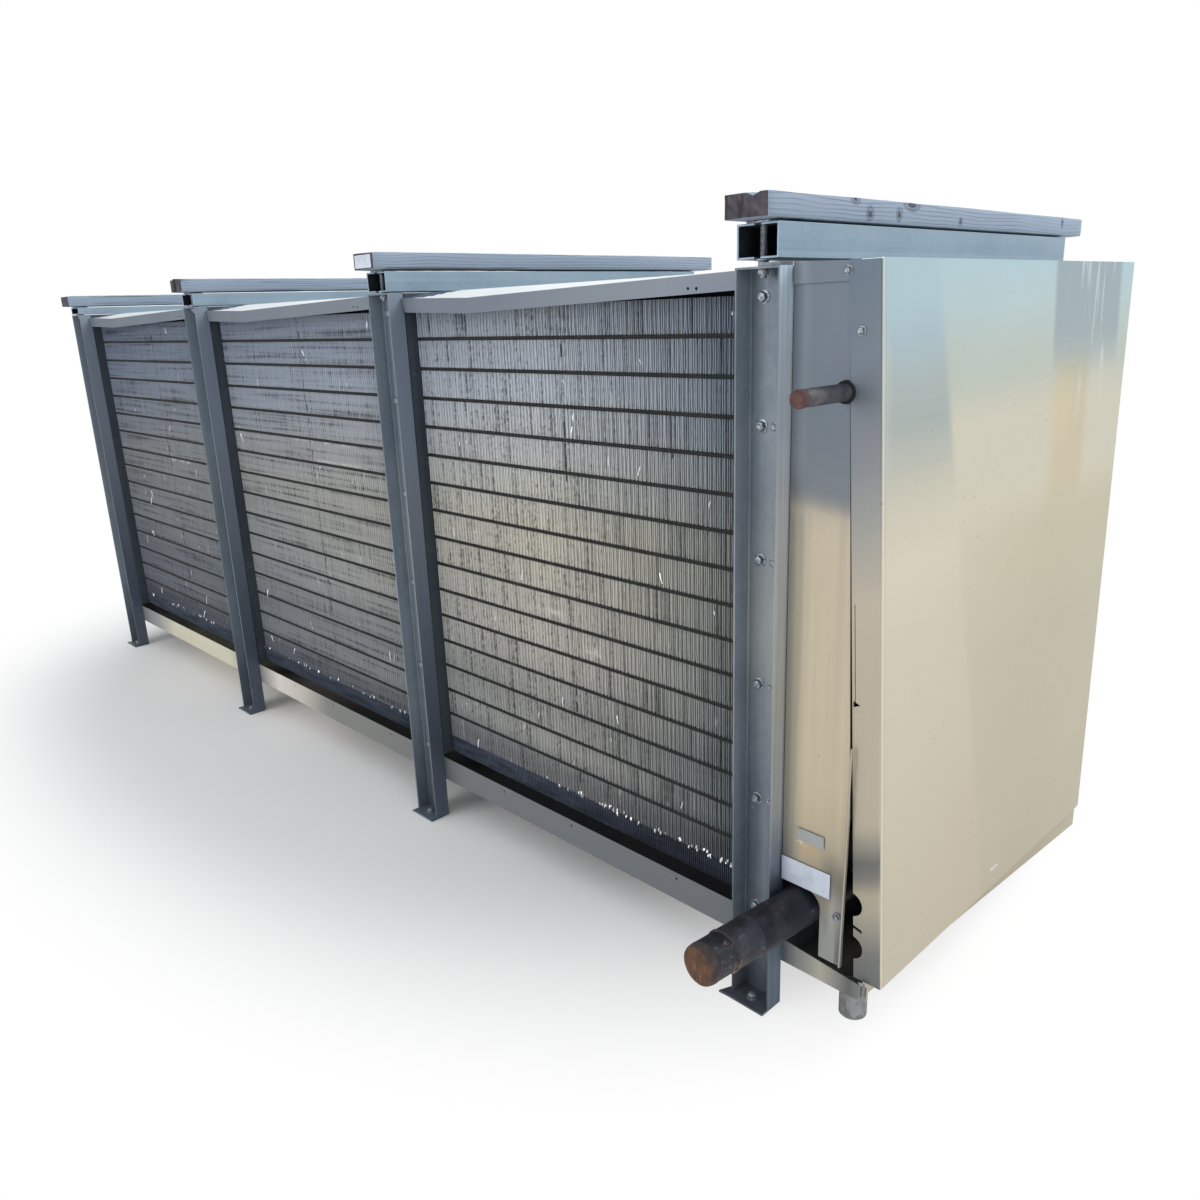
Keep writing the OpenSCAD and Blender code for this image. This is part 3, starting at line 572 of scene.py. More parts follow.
def pipe_primer():
    """Dark blue-black pipe paint, scuffed, rusting through in places and along its welds."""
    f = Finish("pipe_primer", metallic=0.15)
    blotch = f.noise(22.0, 6.0, 0.62)
    fine = f.noise(140.0, 4.0, 0.6)
    y = f.axis("Y") - FRONT
    back = y.clamp(-0.200, -0.185)
    colour = f.mix(blotch.clamp(0.4, 0.68), f.mix(back, (12, 15, 26), (17, 18, 27)),
                   f.mix(back, (34, 38, 50), (52, 52, 62)))
    rust_at = (f.noise(13.0, 6.0, 0.7) * 0.7 + fine * 0.3).clamp(0.56, 0.66)
    rusty = f.mix(fine, (46, 30, 26), (96, 66, 50))
    colour = f.mix(rust_at * 0.45, colour, rusty)
    under = 1.0 - f.axis("Z").clamp(0.250, 0.290)
    joint = band(f, y, -0.195, 0.005, 0.010) * f.noise(90.0, 5.0, 0.7).clamp(0.45, 0.60)
    patches = f.noise(60.0, 5.0, 0.7).clamp(0.50, 0.60)
    joint = joint + band(f, y, -0.215, 0.016, 0.008) * patches * under
    colour = f.mix(joint * (under * 0.85 + 0.15), colour, (176, 124, 78))
    grit = f.streaks((90, 30, 90), 3.0, 0.7).clamp(0.58, 0.66) * under
    colour = f.mix(grit * 0.4, colour, (126, 104, 84))
    patch = f.noise(9.0, 4.0, 0.6).clamp(0.50, 0.62) * back
    colour = f.mix(patch * 0.6, colour, (30, 36, 54))
    scuff = f.streaks((70, 34, 70), 4.0, 0.7).clamp(0.60, 0.70)
    colour = f.mix(scuff * 0.55, colour, (122, 112, 108))
    rusty_foot = f.streaks((60, 60, 130), 4.0, 0.7).clamp(0.52, 0.64)
    colour = f.mix(rusty_foot * (1.0 - f.axis("Z").clamp(0.238, 0.262)) * back * 0.8, colour,
                   (138, 84, 60))
    f.raise_by(fine + rust_at, 0.35, 0.0010)
    return f.done(colour, fine * 0.3 + 0.38)


def rust(name, low, mid, high):
    """Rusty steel."""
    f = Finish(name, metallic=0.1)
    blotch = f.noise(34.0, 6.0, 0.65)
    fine = f.noise(190.0, 4.0, 0.6)
    runs = f.streaks((120, 60, 14), 3.0, 0.6)
    colour = f.ramp(blotch * 0.5 + fine * 0.25 + runs * 0.25, (0.34, low), (0.52, mid),
                    (0.68, high))
    f.raise_by(fine, 0.5, 0.0010)
    return f.done(colour, 0.7 + fine * 0.2)


def plated(name, low, high):
    """Bright plated metal, a little worn."""
    f = Finish(name, metallic=0.7)
    wear = f.noise(300.0, 3.0)
    colour = f.mix(wear.clamp(0.35, 0.65), low, high)
    f.raise_by(wear, 0.1, 0.0003)
    return f.done(colour, wear * 0.25 + 0.26)


def satin_paint(name, low, high):
    """Sprayed machine paint with a faint orange peel and dust."""
    f = Finish(name, roughness=0.45, coat=0.1)
    peel = f.noise(260.0, 2.0)
    colour = f.mix(f.noise(6.0, 4.0).clamp(0.35, 0.7), low, high)
    f.raise_by(peel, 0.12, 0.0005)
    return f.done(colour, peel * 0.1 + 0.42)


def paper_label():
    """A blank sticker, a little dirty."""
    f = Finish("blank_sticker", roughness=0.5)
    smear = f.noise(40.0, 4.0)
    colour = f.mix(smear.clamp(0.4, 0.8) * 0.5, (196, 202, 214), (160, 166, 178))
    return f.done(colour, 0.45 + smear * 0.1)


# pale rubbed places on the fins: place along the unit, height, half length, half height
SMEARS = ((-1.90, 1.145, 0.22, 0.005), (-1.82, 1.080, 0.16, 0.004), (-0.80, 0.775, 0.07, 0.008),
          (-0.62, 0.700, 0.03, 0.012), (-3.15, 0.980, 0.10, 0.005))
# the post steel's warm setting is painted light
STEEL_POST = galvanised("post_zinc", (88, 98, 110), (124, 133, 140), dirt=0.55, warm=0.5)
# painted light: a lit copy of the post steel for the left flange's inner face
STEEL_LIT = galvanised("post_inside_painted_light", (124, 136, 148), (152, 162, 170), dirt=0.45)
STEEL_BEAM = galvanised("beam_zinc", (132, 153, 169), (152, 171, 184), drawn=(60, 0.7, 60),
                        line=BEAM_FOOT + 0.014)
# painted light: a lit copy of the post steel for the right flange's outer face
STEEL_FACE_PAINTED_LIGHT = post_face()
# painted shade: a dark copy of the beam steel for the faces inside the channels
BEAM_PAINTED_SHADE = dark_metal("beam_inside_painted_shade", (30, 36, 46), (50, 56, 66), 0.6)
COVER_SHEET = cover_sheet()
FLANGE_SHEET = flange_sheet()
PANEL_SHEET = panel_sheet()
LIP_SHEET = plain_sheet("lid_lip", (108, 117, 128), (122, 129, 137))
LIP_SHADE = plain_sheet("lid_shade", (66, 76, 96), (90, 100, 120))
# painted light: a pale copy of the lid sheet for upward faces, lit from above
TOP_SHEET_PAINTED_LIGHT = plain_sheet("lid_top_painted_light", (214, 220, 222), (232, 234, 234), 0.5, 0.1)
DECK_SHEET = plain_sheet("lid_deck", (160, 166, 168), (182, 186, 186), 0.45, 0.3)
PAN_SHEET = pan_sheet()
REAR_SHEET = plain_sheet("rear_sheet", (178, 176, 166), (192, 196, 194))
TIMBER = weathered_timber()
TIMBER_END = timber_end()
FIN_SIDE = fin_metal("fin_sides", (136, 137, 139), (242, 242, 239), (255, 254, 252))
# painted glint: a lighter copy of the fin metal for the fins' front edges
FIN_EDGE_PAINTED_GLINT = fin_metal("fin_edges_painted_glint", (150, 151, 154), (252, 251, 248), (255, 254, 252), 0.35)
ROW_SHADOW = dark_metal("row_shadow", (18, 19, 18), (40, 40, 38), 0.8, 0.0)
FIN_BENT = plated("bent_fins", (206, 208, 212), (244, 244, 244))
# painted shade: a near-black finish for the depth behind the fins
COIL_PAINTED_SHADE = dark_metal("coil_depth_painted_shade", (12, 12, 14), (24, 24, 26), 0.8)
SLAT = dark_metal("coil_slats", (40, 42, 46), (84, 86, 88), 0.5)
SILL_DARK = sill_steel()
# painted shade: a dark copy of the zinc for the coil end sheets
END_SHEET_PAINTED_SHADE = galvanised("end_sheet_painted_shade", (62, 70, 80), (84, 91, 100))
PIPE = pipe_primer()
CAP_RUST = rust("cap_rust", (52, 34, 28), (92, 62, 44), (136, 98, 64))
CAP_SIDE = rust("cap_side", (40, 32, 34), (70, 56, 54), (112, 92, 82))
RED_RUST = rust("stub_red", (52, 34, 34), (84, 56, 54), (112, 80, 74))
STUB_GREY = dark_metal("stub_grey", (60, 62, 72), (104, 100, 98), 0.5, 0.2)
BOLT = plated("bolt_zinc", (96, 104, 112), (164, 170, 176))
RUBBER = dark_metal("grommet_rubber", (12, 14, 18), (26, 28, 32), 0.7, 0.0)
COUPLING = galvanised("coupling_zinc", (96, 98, 100), (146, 146, 148), 0.25)
STRAP = plated("strap_zinc", (112, 112, 112), (150, 150, 150))
MOTOR_PAINT = satin_paint("motor_paint", (70, 82, 96), (92, 104, 116))
BLADE = dark_metal("blade_cast", (96, 100, 104), (136, 138, 140), 0.4)
GUARD_WIRE = plated("guard_wire", (96, 102, 108), (150, 154, 158))
LABEL = paper_label()
GREY_PLATE = satin_paint("grey_plate", (146, 147, 149), (156, 157, 158))
TAG = paper_label()
LIP_EDGE = plain_sheet("panel_edge", (146, 142, 130), (172, 166, 152), 0.35, 0.6)


# ---- making pieces

def select_only(*objs):
    bpy.ops.object.select_all(action="DESELECT")
    for obj in objs:
        obj.select_set(True)
    bpy.context.view_layer.objects.active = objs[0]


def settle(obj):
    """Puts a piece's place, turn and size into its mesh."""
    select_only(obj)
    bpy.ops.object.transform_apply(location=True, rotation=True, scale=True)
    return obj


def block(name, low, high):
    """A box primitive between two corners."""
    low, high = Vector(low), Vector(high)
    bpy.ops.object.select_all(action="DESELECT")
    bpy.ops.mesh.primitive_cube_add(size=1.0, location=(low + high) / 2)
    obj = bpy.context.object
    obj.name = name
    obj.scale = high - low
    return settle(obj)


def sheet(name, columns, rows):
    """A flat grid primitive of one unit, to be shaped by shape()."""
    bpy.ops.object.select_all(action="DESELECT")
    bpy.ops.mesh.primitive_grid_add(x_subdivisions=columns, y_subdivisions=rows, size=1.0,
                                    location=(0.5, 0.5, 0))
    bpy.context.object.name = name
    return settle(bpy.context.object)


def shape(obj, move):
    """Moves each point of a piece to where move(point) says."""
    for v in obj.data.vertices:
        v.co = move(v.co.copy())
    obj.data.update()
    return obj


class Editing:
    """Edit mode on one piece, whose faces or edges are picked by a test."""

    def __init__(self, obj, kind="FACE"):
        self.obj = obj
        self.kind = kind

    def __enter__(self):
        select_only(self.obj)
        bpy.ops.object.mode_set(mode="EDIT")
        bpy.ops.mesh.select_mode(type=self.kind)
        bpy.ops.mesh.select_all(action="DESELECT")
        return self

    def __exit__(self, *failure):
        bpy.ops.object.mode_set(mode="OBJECT")

    def pick(self, test):
        """Selects the faces or edges that pass, and says how many do."""
        mesh = bmesh.from_edit_mesh(self.obj.data)
        mesh.normal_update()
        bpy.ops.mesh.select_all(action="DESELECT")
        found = [p for p in (mesh.faces if self.kind == "FACE" else mesh.edges) if test(p)]
        for p in found:
            p.select_set(True)
        mesh.select_flush_mode()
        bmesh.update_edit_mesh(self.obj.data)
        return len(found)

    def pick_all(self):
        bpy.ops.mesh.select_all(action="SELECT")


def applied(obj, kind, **settings):
    """Adds a modifier and applies it."""
    select_only(obj)
    modifier = obj.modifiers.new(kind.lower(), kind)
    for name, value in settings.items():
        setattr(modifier, name, value)
    bpy.ops.object.modifier_apply(modifier=modifier.name)
    return obj


def rounded(obj, width, segments=2, angle=30):
    return applied(obj, "BEVEL", width=width, segments=segments, limit_method="ANGLE",
                   angle_limit=math.radians(angle), use_clamp_overlap=True)


def thickened(obj, thickness, offset=0):
    return applied(obj, "SOLIDIFY", thickness=thickness, offset=offset)


def repeated(obj, count, step):
    """A row of count copies, each moved on by step."""
    return applied(obj, "ARRAY", count=count, use_relative_offset=False, use_constant_offset=True,
                   constant_offset_displace=step)


def divided(obj, axis, longer, cuts):
    """Cuts the edges that run along an axis further than longer."""
    with Editing(obj, "EDGE") as e:
        e.pick(lambda p: abs(getattr(p.verts[0].co, axis) - getattr(p.verts[1].co, axis)) > longer)
        bpy.ops.mesh.subdivide(number_cuts=cuts)
    return obj


def outward(obj):
    with Editing(obj) as e:
        e.pick_all()
        bpy.ops.mesh.remove_doubles(threshold=0.00001)
        bpy.ops.mesh.normals_make_consistent(inside=False)
    return obj


def copy_of(node, name):
    """A CAD piece's shape as a new piece, its triangles merged into whole faces."""
    obj = NODES[node].copy()
    obj.data = NODES[node].data.copy()
    for key in list(obj.keys()):
        del obj[key]
    obj.parent = None
    obj.name = name
    obj.data.materials.clear()
    bpy.context.scene.collection.objects.link(obj)
    with Editing(obj) as e:
        e.pick_all()
        bpy.ops.mesh.customdata_custom_splitnormals_clear()
        bpy.ops.mesh.remove_doubles(threshold=0.00002)
        bpy.ops.mesh.dissolve_limited(angle_limit=math.radians(1))
    return obj


def put_on(obj, material, node=None, smooth=35, level=False):
    """Finishes a piece: its material, its body, and the CAD pieces it stands for."""
    settle(obj)
    bpy.ops.object.shade_smooth_by_angle(angle=math.radians(smooth))
    if level:
        applied(obj, "WEIGHTED_NORMAL", keep_sharp=True)
    if not obj.data.materials:
        obj.data.materials.append(material)
    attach(obj, "root")
    if node:
        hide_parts(*([node] if isinstance(node, str) else node))
    return obj


def paint(obj, first, *others):
    """Gives a piece one material, and others to the faces that pass their tests."""
    obj.data.materials.clear()
    for material in (first, *(m for m, _ in others)):
        obj.data.materials.append(material)
    for face in obj.data.polygons:
        face.material_index = 0
        for k, (_, test) in enumerate(others, 1):
            if test(face):
                face.material_index = k
    return obj


def turned(name, steps, vertices=32):
    """A round body along +Z from steps of (radius, height), closed at both ends."""
    bpy.ops.object.select_all(action="DESELECT")
    radius, height = steps[0]
    bpy.ops.mesh.primitive_circle_add(vertices=vertices, radius=radius, fill_type="NGON",
                                      location=(0, 0, height))
    obj = bpy.context.object
    obj.name = name
    settle(obj)
    with Editing(obj) as e:
        e.pick_all()
        last_r, last_h = radius, height
        for radius, height in steps[1:]:
            bpy.ops.mesh.extrude_region_move(
                TRANSFORM_OT_translate={"value": (0, 0, height - last_h)})
            bpy.ops.transform.resize(value=(radius / last_r, radius / last_r, 1))
            last_r, last_h = radius, height
        e.pick_all()
        bpy.ops.mesh.normals_make_consistent(inside=False)
    return obj


def aim(obj, place, direction, roll=0.0):
    """Turns a piece made along +Z towards direction, and moves it to place."""
    turn = Vector(direction).normalized().to_track_quat("Z", "Y").to_matrix().to_4x4()
    obj.data.transform(Matrix.Translation(Vector(place)) @ turn @ Matrix.Rotation(roll, 4, "Z"))
    return obj


def twin(obj, name):
    """A copy with its own mesh."""
    made = obj.copy()
    made.data = obj.data.copy()
    made.name = name
    bpy.context.scene.collection.objects.link(made)
    return made


def joined(name, parts):
    select_only(*parts)
    if len(parts) > 1:
        bpy.ops.object.join()
    parts[0].name = name
    return parts[0]


def scattered(name, pattern, places):
    """Copies of one pattern at (place, direction, roll), joined into one piece."""
    made = [aim(twin(pattern, name), *place) for place in places]
    return joined(name, made)


def fasten(name, pattern, places):
    """Bolts or screws of one pattern, as one piece."""
    return put_on(scattered(name, pattern, places), BOLT)


def remove(*objs):
    for obj in objs:
        bpy.data.objects.remove(obj)


def cut(obj, tool):
    """Cuts tool's shape out of obj, and removes the tool."""
    applied(obj, "BOOLEAN", operation="DIFFERENCE", object=tool, solver="EXACT")
    remove(tool)
    return obj


# ---- fasteners

def hex_bolt(across, height, washer):
    """A hexagon head with rounded corners on a round washer."""
    head = turned("head", [(across * 0.5, 0.0012), (across * 0.5, height * 0.8),
                           (across * 0.44, height)], 6)
    rounded(head, 0.0006, 1, 20)
    plate = turned("plate", [(washer * 0.5, -0.0005), (washer * 0.5, 0.0012),
                             (washer * 0.46, 0.0016)], 20)
    mark = turned("mark", [(across * 0.25, height), (across * 0.22, height + 0.0008)], 12)
    return joined("hex_bolt", [head, plate, mark])


def screw(radius):
    """A small pan-head screw."""
    return turned("pan_screw", [(radius, -0.0004), (radius, 0.0008), (radius * 0.85, 0.0018),
                                (radius * 0.45, 0.0024)], 14)


BIG_BOLT = hex_bolt(0.021, 0.010, 0.028)
SMALL_BOLT = hex_bolt(0.014, 0.007, 0.018)
SCREW = screw(0.0055)
LEFT = Vector((-1, 0, 0))
FORE, AFT, UP = Vector((0, -1, 0)), Vector((0, 1, 0)), Vector((0, 0, 1))


# ---- leg frame

WEB_BOLTS = (1547, 1306, 1036, 766, 498, 228)
LOW_NUTS = (1306, 1034, 765, 499)


def post(i, rear):
    """A rolled channel with rounded corners, on its foot."""
    node = f"{'rear' if rear else 'front'}_post_{i}"
    obj = copy_of(node, f"{node}_rolled")
    x1 = post_x(i)
    high = corner_of(node, True)
    inner_y = FRONT + WEB_INNER if not rear else high.y - FOOT_LIP - WEB_INNER

    def inside_corner(edge):
        a, b = (v.co for v in edge.verts)
        upright = abs(a.z - b.z) > 1.0
        return upright and abs(a.y - inner_y) < 0.001 and 0.003 < abs(a.x - x1 + 0.051) < 0.0475

    with Editing(obj, "EDGE") as e:
        if e.pick(inside_corner):
            bpy.ops.mesh.bevel(offset=0.0045, segments=4, affect="EDGES", offset_type="OFFSET")
    rounded(obj, 0.0012, 2)
    if not rear:
        # painted light: faces towards +X take the lit copies of the post steel
        paint(obj, STEEL_POST, (STEEL_LIT, lambda p: p.normal.x > 0.9 and p.center.x < x1 - 0.05),
              (STEEL_FACE_PAINTED_LIGHT, lambda p: p.normal.x > 0.9 and p.center.x > x1 - 0.001))
    put_on(obj, STEEL_POST, node, level=True)
    face = FORE if not rear else AFT
    places = []
    nuts = []
    for z in WEB_BOLTS:
        places.append((Vector((x1 - 0.068, inner_y, z * MM)), face, random.uniform(0, 1)))
    for z in LOW_NUTS:
        nuts.append((Vector((x1 - 0.036, inner_y, z * MM)), face, random.uniform(0, 1)))
    fasten(f"{node}_bolts", BIG_BOLT, places)
    fasten(f"{node}_nuts", SMALL_BOLT, nuts)
    foot_y = FRONT + 0.012 if not rear else high.y - FOOT_LIP - 0.012
    fasten(f"{node}_anchor", BIG_BOLT, [(Vector((x1 - POST_W / 2, foot_y, 0.0065)), UP, 0.4)])


random.seed(11)
for i in POSTS:
    post(i, False)
    post(i, True)


# ---- hanger beams and timbers

def hanger_beam(i):
    node = f"hanger_beam_{i}"
    low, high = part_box(node)
    obj = copy_of(node, f"{node}_channels")
    rounded(obj, 0.0014, 2)

    def hollow(face):
        c = face.center
        return (min(c.x - low.x, high.x - c.x) > 0.002 and min(c.z - low.z, high.z - c.z) > 0.002
                and min(c.y - low.y, high.y - c.y) > 0.002)

    # painted shade: the hollow faces inside the channels take the dark copy
    paint(obj, STEEL_BEAM, (BEAM_PAINTED_SHADE, hollow))
    put_on(obj, STEEL_BEAM, node, level=True)


def timber(i):
    """A rough-sawn length of timber, a little out of true, its arrises worn."""
    node = f"timber_{i}"
    low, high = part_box(node)
    obj = block(f"{node}_sawn", low, high)
    divided(obj, "y", 1.0, 60)
    divided(obj, "x", 0.08, 5)
    divided(obj, "z", 0.03, 3)
    seed = Vector((i * 7.3, 0, 0))
    middle = (low + high) / 2
    half = (high - low) / 2
    notch_x = low.x + 0.62 * (high.x - low.x)

    def weathered(p):
        wander = noise.noise_vector(Vector((p.x * 9, p.y * 3.1, p.z * 22)) + seed) * 0.0016
        rough = noise.noise_vector(p * 55 + seed) * 0.0007
        q = p + wander + rough
        if p.z > high.z - 0.001:
            q.z -= 0.0016
            near_end = max(0.0, 1 - (p.y - low.y) / 0.05)
            if i == 4 and abs(p.x - notch_x) < 0.009:
                q.z -= 0.006 * near_end
        for k in range(3):
            q[k] = min(max(q[k], low[k] + 0.0002 + 0.0010 * (k == 1)), high[k] - 0.0002)
        inward = (middle - q)
        corner = sum(abs(abs(p[k] - middle[k]) - half[k]) < 0.0005 for k in range(3))
        if corner >= 2:
            q += Vector((math.copysign(0.0018, inward.x), 0, math.copysign(0.0018, inward.z)))
        return q

    shape(obj, weathered)
    rounded(obj, 0.0016, 2, 40)
    obj.data.materials.append(TIMBER)
    obj.data.materials.append(TIMBER_END)
    for face in obj.data.polygons:
        if abs(face.normal.y) > 0.7:
            face.material_index = 1
    put_on(obj, TIMBER, node, 50)


def timber_tags():
    """A blank shipping tag on one timber's end, and a dark strap round another's."""
    low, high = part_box("timber_3")
    tag = sheet("tag", 4, 4)
    shape(tag, lambda p: Vector((low.x + 0.010 + p.x * 0.080,
                                 low.y + 0.0004 + 0.0002 * math.sin(p.x * 4),
                                 low.z + 0.006 + p.y * 0.034)))
    thickened(tag, 0.0006)
    put_on(tag, TAG)
    low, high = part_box("timber_2")
    parts = []
    for a, b in (((low.x + 0.030, low.y + 0.0002, low.z + 0.002),
                  (low.x + 0.052, low.y + 0.0012, high.z)),
                 ((low.x + 0.030, low.y + 0.0002, high.z - 0.0012),
                  (low.x + 0.052, low.y + 0.12, high.z))):
        parts.append(block("strap", a, b))
    strap = joined("timber_strap", parts)
    rounded(strap, 0.0003, 1)
    put_on(strap, RUBBER)


def post_shim():
    """A steel shim between the near post and its beam."""
    shim = block("post_shim", at(-50, 3, 1600.2), at(-1, 43, 1606.6))
    rounded(shim, 0.0006, 2)
    put_on(shim, STEEL_POST, level=True)


for i in POSTS:
    hanger_beam(i)
    timber(i)
timber_tags()
post_shim()


# ---- threaded rods

def threaded_rods():
    """Rods with a cut thread, nuts, washers and square plates."""
    obj = copy_of("tie_rods", "tie_rods_plain")
    rounded(obj, 0.0007, 2, 25)
    put_on(obj, BOLT, "tie_rods")
    pitch = 0.0018
    thread = []
    for i in POSTS:
        low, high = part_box(f"hanger_beam_{i}")
        turns = int((high.z - low.z) / pitch)
        steps = []
        for k in range(turns):
            steps += [(0.0063, low.z + k * pitch), (0.0069, low.z + (k + 0.5) * pitch)]
        master = turned(f"thread_{i}", steps, 14)
        for y in (FRONT + ROD_INSET, REAR + POST_D - ROD_INSET):
            made = twin(master, f"thread_{i}")
            made.data.transform(Matrix.Translation((post_x(i) - POST_W / 2, y, 0)))
            thread.append(made)
        remove(master)
    put_on(joined("rod_threads", thread), BOLT)


threaded_rods()


# ---- coils

def row_z(k):
    """Height of the foot of row k."""
    return FIN_FOOT + k * ROW_PITCH


def fin_rows(name, x0, x1, y0, y1, pitch, cuts, bend, seed):
    """Rows of thin fins between two faces, some leaning or bent."""
    count = int((x1 - x0) / pitch)
    fin = block(name, (x0 + pitch / 2, y0, FIN_FOOT),
                (x0 + pitch / 2 + 0.0007, y1, FIN_FOOT + ROW_PITCH - ROW_GAP))
    divided(fin, "z", 0.03, cuts)
    fin.data.materials.append(FIN_SIDE)
    fin.data.materials.append(FIN_EDGE_PAINTED_GLINT)
    # the front edges take the lighter copy, a painted glint
    for face in fin.data.polygons:
        face.material_index = 1 if abs(face.normal.y) > 0.7 else 0
    repeated(fin, count, (pitch, 0, 0))
    repeated(fin, ROWS, (0, 0, ROW_PITCH))
    wide = 1.0 / (y1 - y0)

    def lean(p):
        front = (y1 - p.y) * wide
        index = round((p.x - x0) / pitch - 0.5)
        row = int((p.z - FIN_FOOT) / ROW_PITCH)
        own = noise.noise(Vector((index * 1.31, row * 3.1 + seed, 0)))
        wave = noise.noise(Vector((index * 0.83, p.z * 43, seed)))
        p.x += front * front * bend * (own + wave * 0.7)
        if bend and index % 2:
            p.y += front * 0.0016
        return p

    shape(fin, lean)
    tones = []
    for face in fin.data.polygons:
        index = round((face.center.x - x0) / pitch - 0.5)
        row = int((face.center.z - FIN_FOOT) / ROW_PITCH)
        tones.append(0.5 + noise.noise(Vector((index * 1.73, row * 1.37, seed + 3))) * 0.9)
    fin.data.attributes.new("fin_tone", "FLOAT", "FACE").data.foreach_set("value", tones)
    return fin


def coil_slats(i):
    """Thin frame strips in most of the gaps between rows, each a little out of level."""
    x0, x1 = bay(i)
    slats = []
    for k in sorted(random.sample(range(ROWS - 2), 8)):
        low = row_z(k) + ROW_PITCH - ROW_GAP
        tall = random.choice((0.0009, 0.0012, 0.0020))
        rise = [random.uniform(0.0, ROW_GAP - tall - 0.0005) for _ in range(2)]
        back = random.uniform(0.001, 0.006)
        slat = block("slat", (x0 + 0.001, FIN_FRONT + back, 0),
                     (x1 - 0.001, FIN_FRONT + back + 0.004, tall))
        divided(slat, "x", 0.5, 6)

        def tilt(p):
            share = (p.x - x0) / (x1 - x0)
            sag = noise.noise(Vector((share * 3, k, i))) * 0.0005
            p.z += low + rise[0] * (1 - share) + rise[1] * share + sag
            return p

        slats.append(shape(slat, tilt))
    made = joined(f"coil_{i}_slats", slats)
    rounded(made, 0.0004, 1)
    put_on(made, SLAT)


def bent_fins(i):
    """Torn and folded fins that catch the light, most of them at the foot of the lowest row."""
    x0, x1 = bay(i)
    flap = sheet("flap", 2, 3)
    shape(flap, lambda p: Vector(((p.x - 0.5) * 0.006, -0.0035 * math.sin(p.y * 2.6),
                                  -p.y * 0.014)))
    thickened(flap, 0.0005)
    spots = []
    for _ in range(70 if i == 3 else 20):
        share = 1 - random.random() ** 2 * 0.62 if i == 3 else random.random()
        spots.append((x0 + share * (x1 - x0 - 0.02), FIN_FOOT + random.uniform(0.004, 0.016),
                      random.uniform(0.3, 0.8), random.uniform(0.4, 0.9)))
    for _ in range(30):
        spots.append((random.uniform(x0 + 0.05, x1 - 0.05),
                      row_z(random.randrange(ROWS)) + random.uniform(0.020, 0.070),
                      random.uniform(0.25, 0.45), random.uniform(0.6, 2.0 if i == 3 else 3.0)))
    made = []
    for x, z, wide, tall in spots:
        one = twin(flap, "flap")
        one.data.transform(Matrix.Translation((x, FIN_FRONT - 0.0010, z))
                           @ Matrix.Rotation(random.uniform(-0.5, 1.1), 4, "Z")
                           @ Matrix.Rotation(random.uniform(-0.35, 0.35), 4, "Y")
                           @ Matrix.Diagonal((wide, 1, tall, 1)))
        made.append(one)
    remove(flap)
    put_on(joined(f"coil_{i}_bent_fins", made), FIN_BENT)


def middle_support(i):
    """A thin plate between the fins at mid-length, its edge nicked and out of line."""
    middle = sum(bay(i)) / 2
    plates = []
    for k in range(ROWS):
        z = row_z(k)
        plates.append(block("plate", (middle - 0.0012, FIN_FRONT - 0.0012, z + 0.002),
                            (middle + 0.0012, FIN_FRONT + 0.010, z + ROW_PITCH - ROW_GAP - 0.002)))
    plate = divided(joined(f"coil_{i}_support", plates), "z", 0.03, 7)
    shape(plate, lambda p: p
          + Vector((noise.noise(p * 31) * 0.004, max(0.0, noise.noise(p * 57)) * 0.004, 0)))
    put_on(plate, STRAP)


def bent_wire(name, points, radius, sections=8):
    """A round wire along a line of places."""
    points = [Vector(p) for p in points]
    bpy.ops.object.select_all(action="DESELECT")
    bpy.ops.mesh.primitive_circle_add(vertices=sections, radius=radius, fill_type="NGON")
    obj = bpy.context.object
    obj.name = name
    first = (points[1] - points[0]).normalized()
    upright = first.to_track_quat("Z", "Y").to_matrix().to_4x4()
    obj.data.transform(Matrix.Translation(points[0]) @ upright)
    facing = first
    with Editing(obj) as e:
        e.pick_all()
        for a, b, c in zip(points, points[1:], points[2:] + [None]):
            bpy.ops.mesh.extrude_region_move(TRANSFORM_OT_translate={"value": b - a})
            if c is not None:
                onward = ((b - a).normalized() + (c - b).normalized()).normalized()
                turn = facing.rotation_difference(onward)
                axis, angle = turn.to_axis_angle()
                mesh = bmesh.from_edit_mesh(obj.data)
                picked = [v for v in mesh.verts if v.select]
                bmesh.ops.rotate(mesh, cent=b, matrix=Matrix.Rotation(angle, 3, axis), verts=picked)
                bmesh.update_edit_mesh(obj.data)
                facing = onward
        e.pick_all()
        bpy.ops.mesh.normals_make_consistent(inside=False)
    return obj


def wire_hooks():
    """Loose lacing wires near the last post."""
    x = bay(3)[1]
    y = FIN_FRONT - 0.0022
    first = bent_wire("hook",
                      [(x - 0.004, y, 1.3195), (x - 0.030, y, 1.3190), (x - 0.036, y, 1.3225),
                               (x - 0.030, y - 0.002, 1.3262), (x - 0.014, y, 1.3240)], 0.0009)
    second = bent_wire("hook",
                       [(x - 0.003, y, 1.2360), (x - 0.022, y, 1.2372), (x - 0.040, y, 1.2350),
                                (x - 0.044, y - 0.002, 1.2480), (x - 0.034, y, 1.2640),
                                (x - 0.041, y, 1.2760)], 0.0009)
    third = bent_wire("hook", [(x - 0.260, y, 1.2350), (x - 0.262, y - 0.001, 1.2120)], 0.0010)
    fourth = bent_wire("hook", [(x - 0.232, y, 1.2350), (x - 0.233, y - 0.001, 1.2170)], 0.0010)
    put_on(joined("lacing_wires", [first, second, third, fourth]), SLAT)


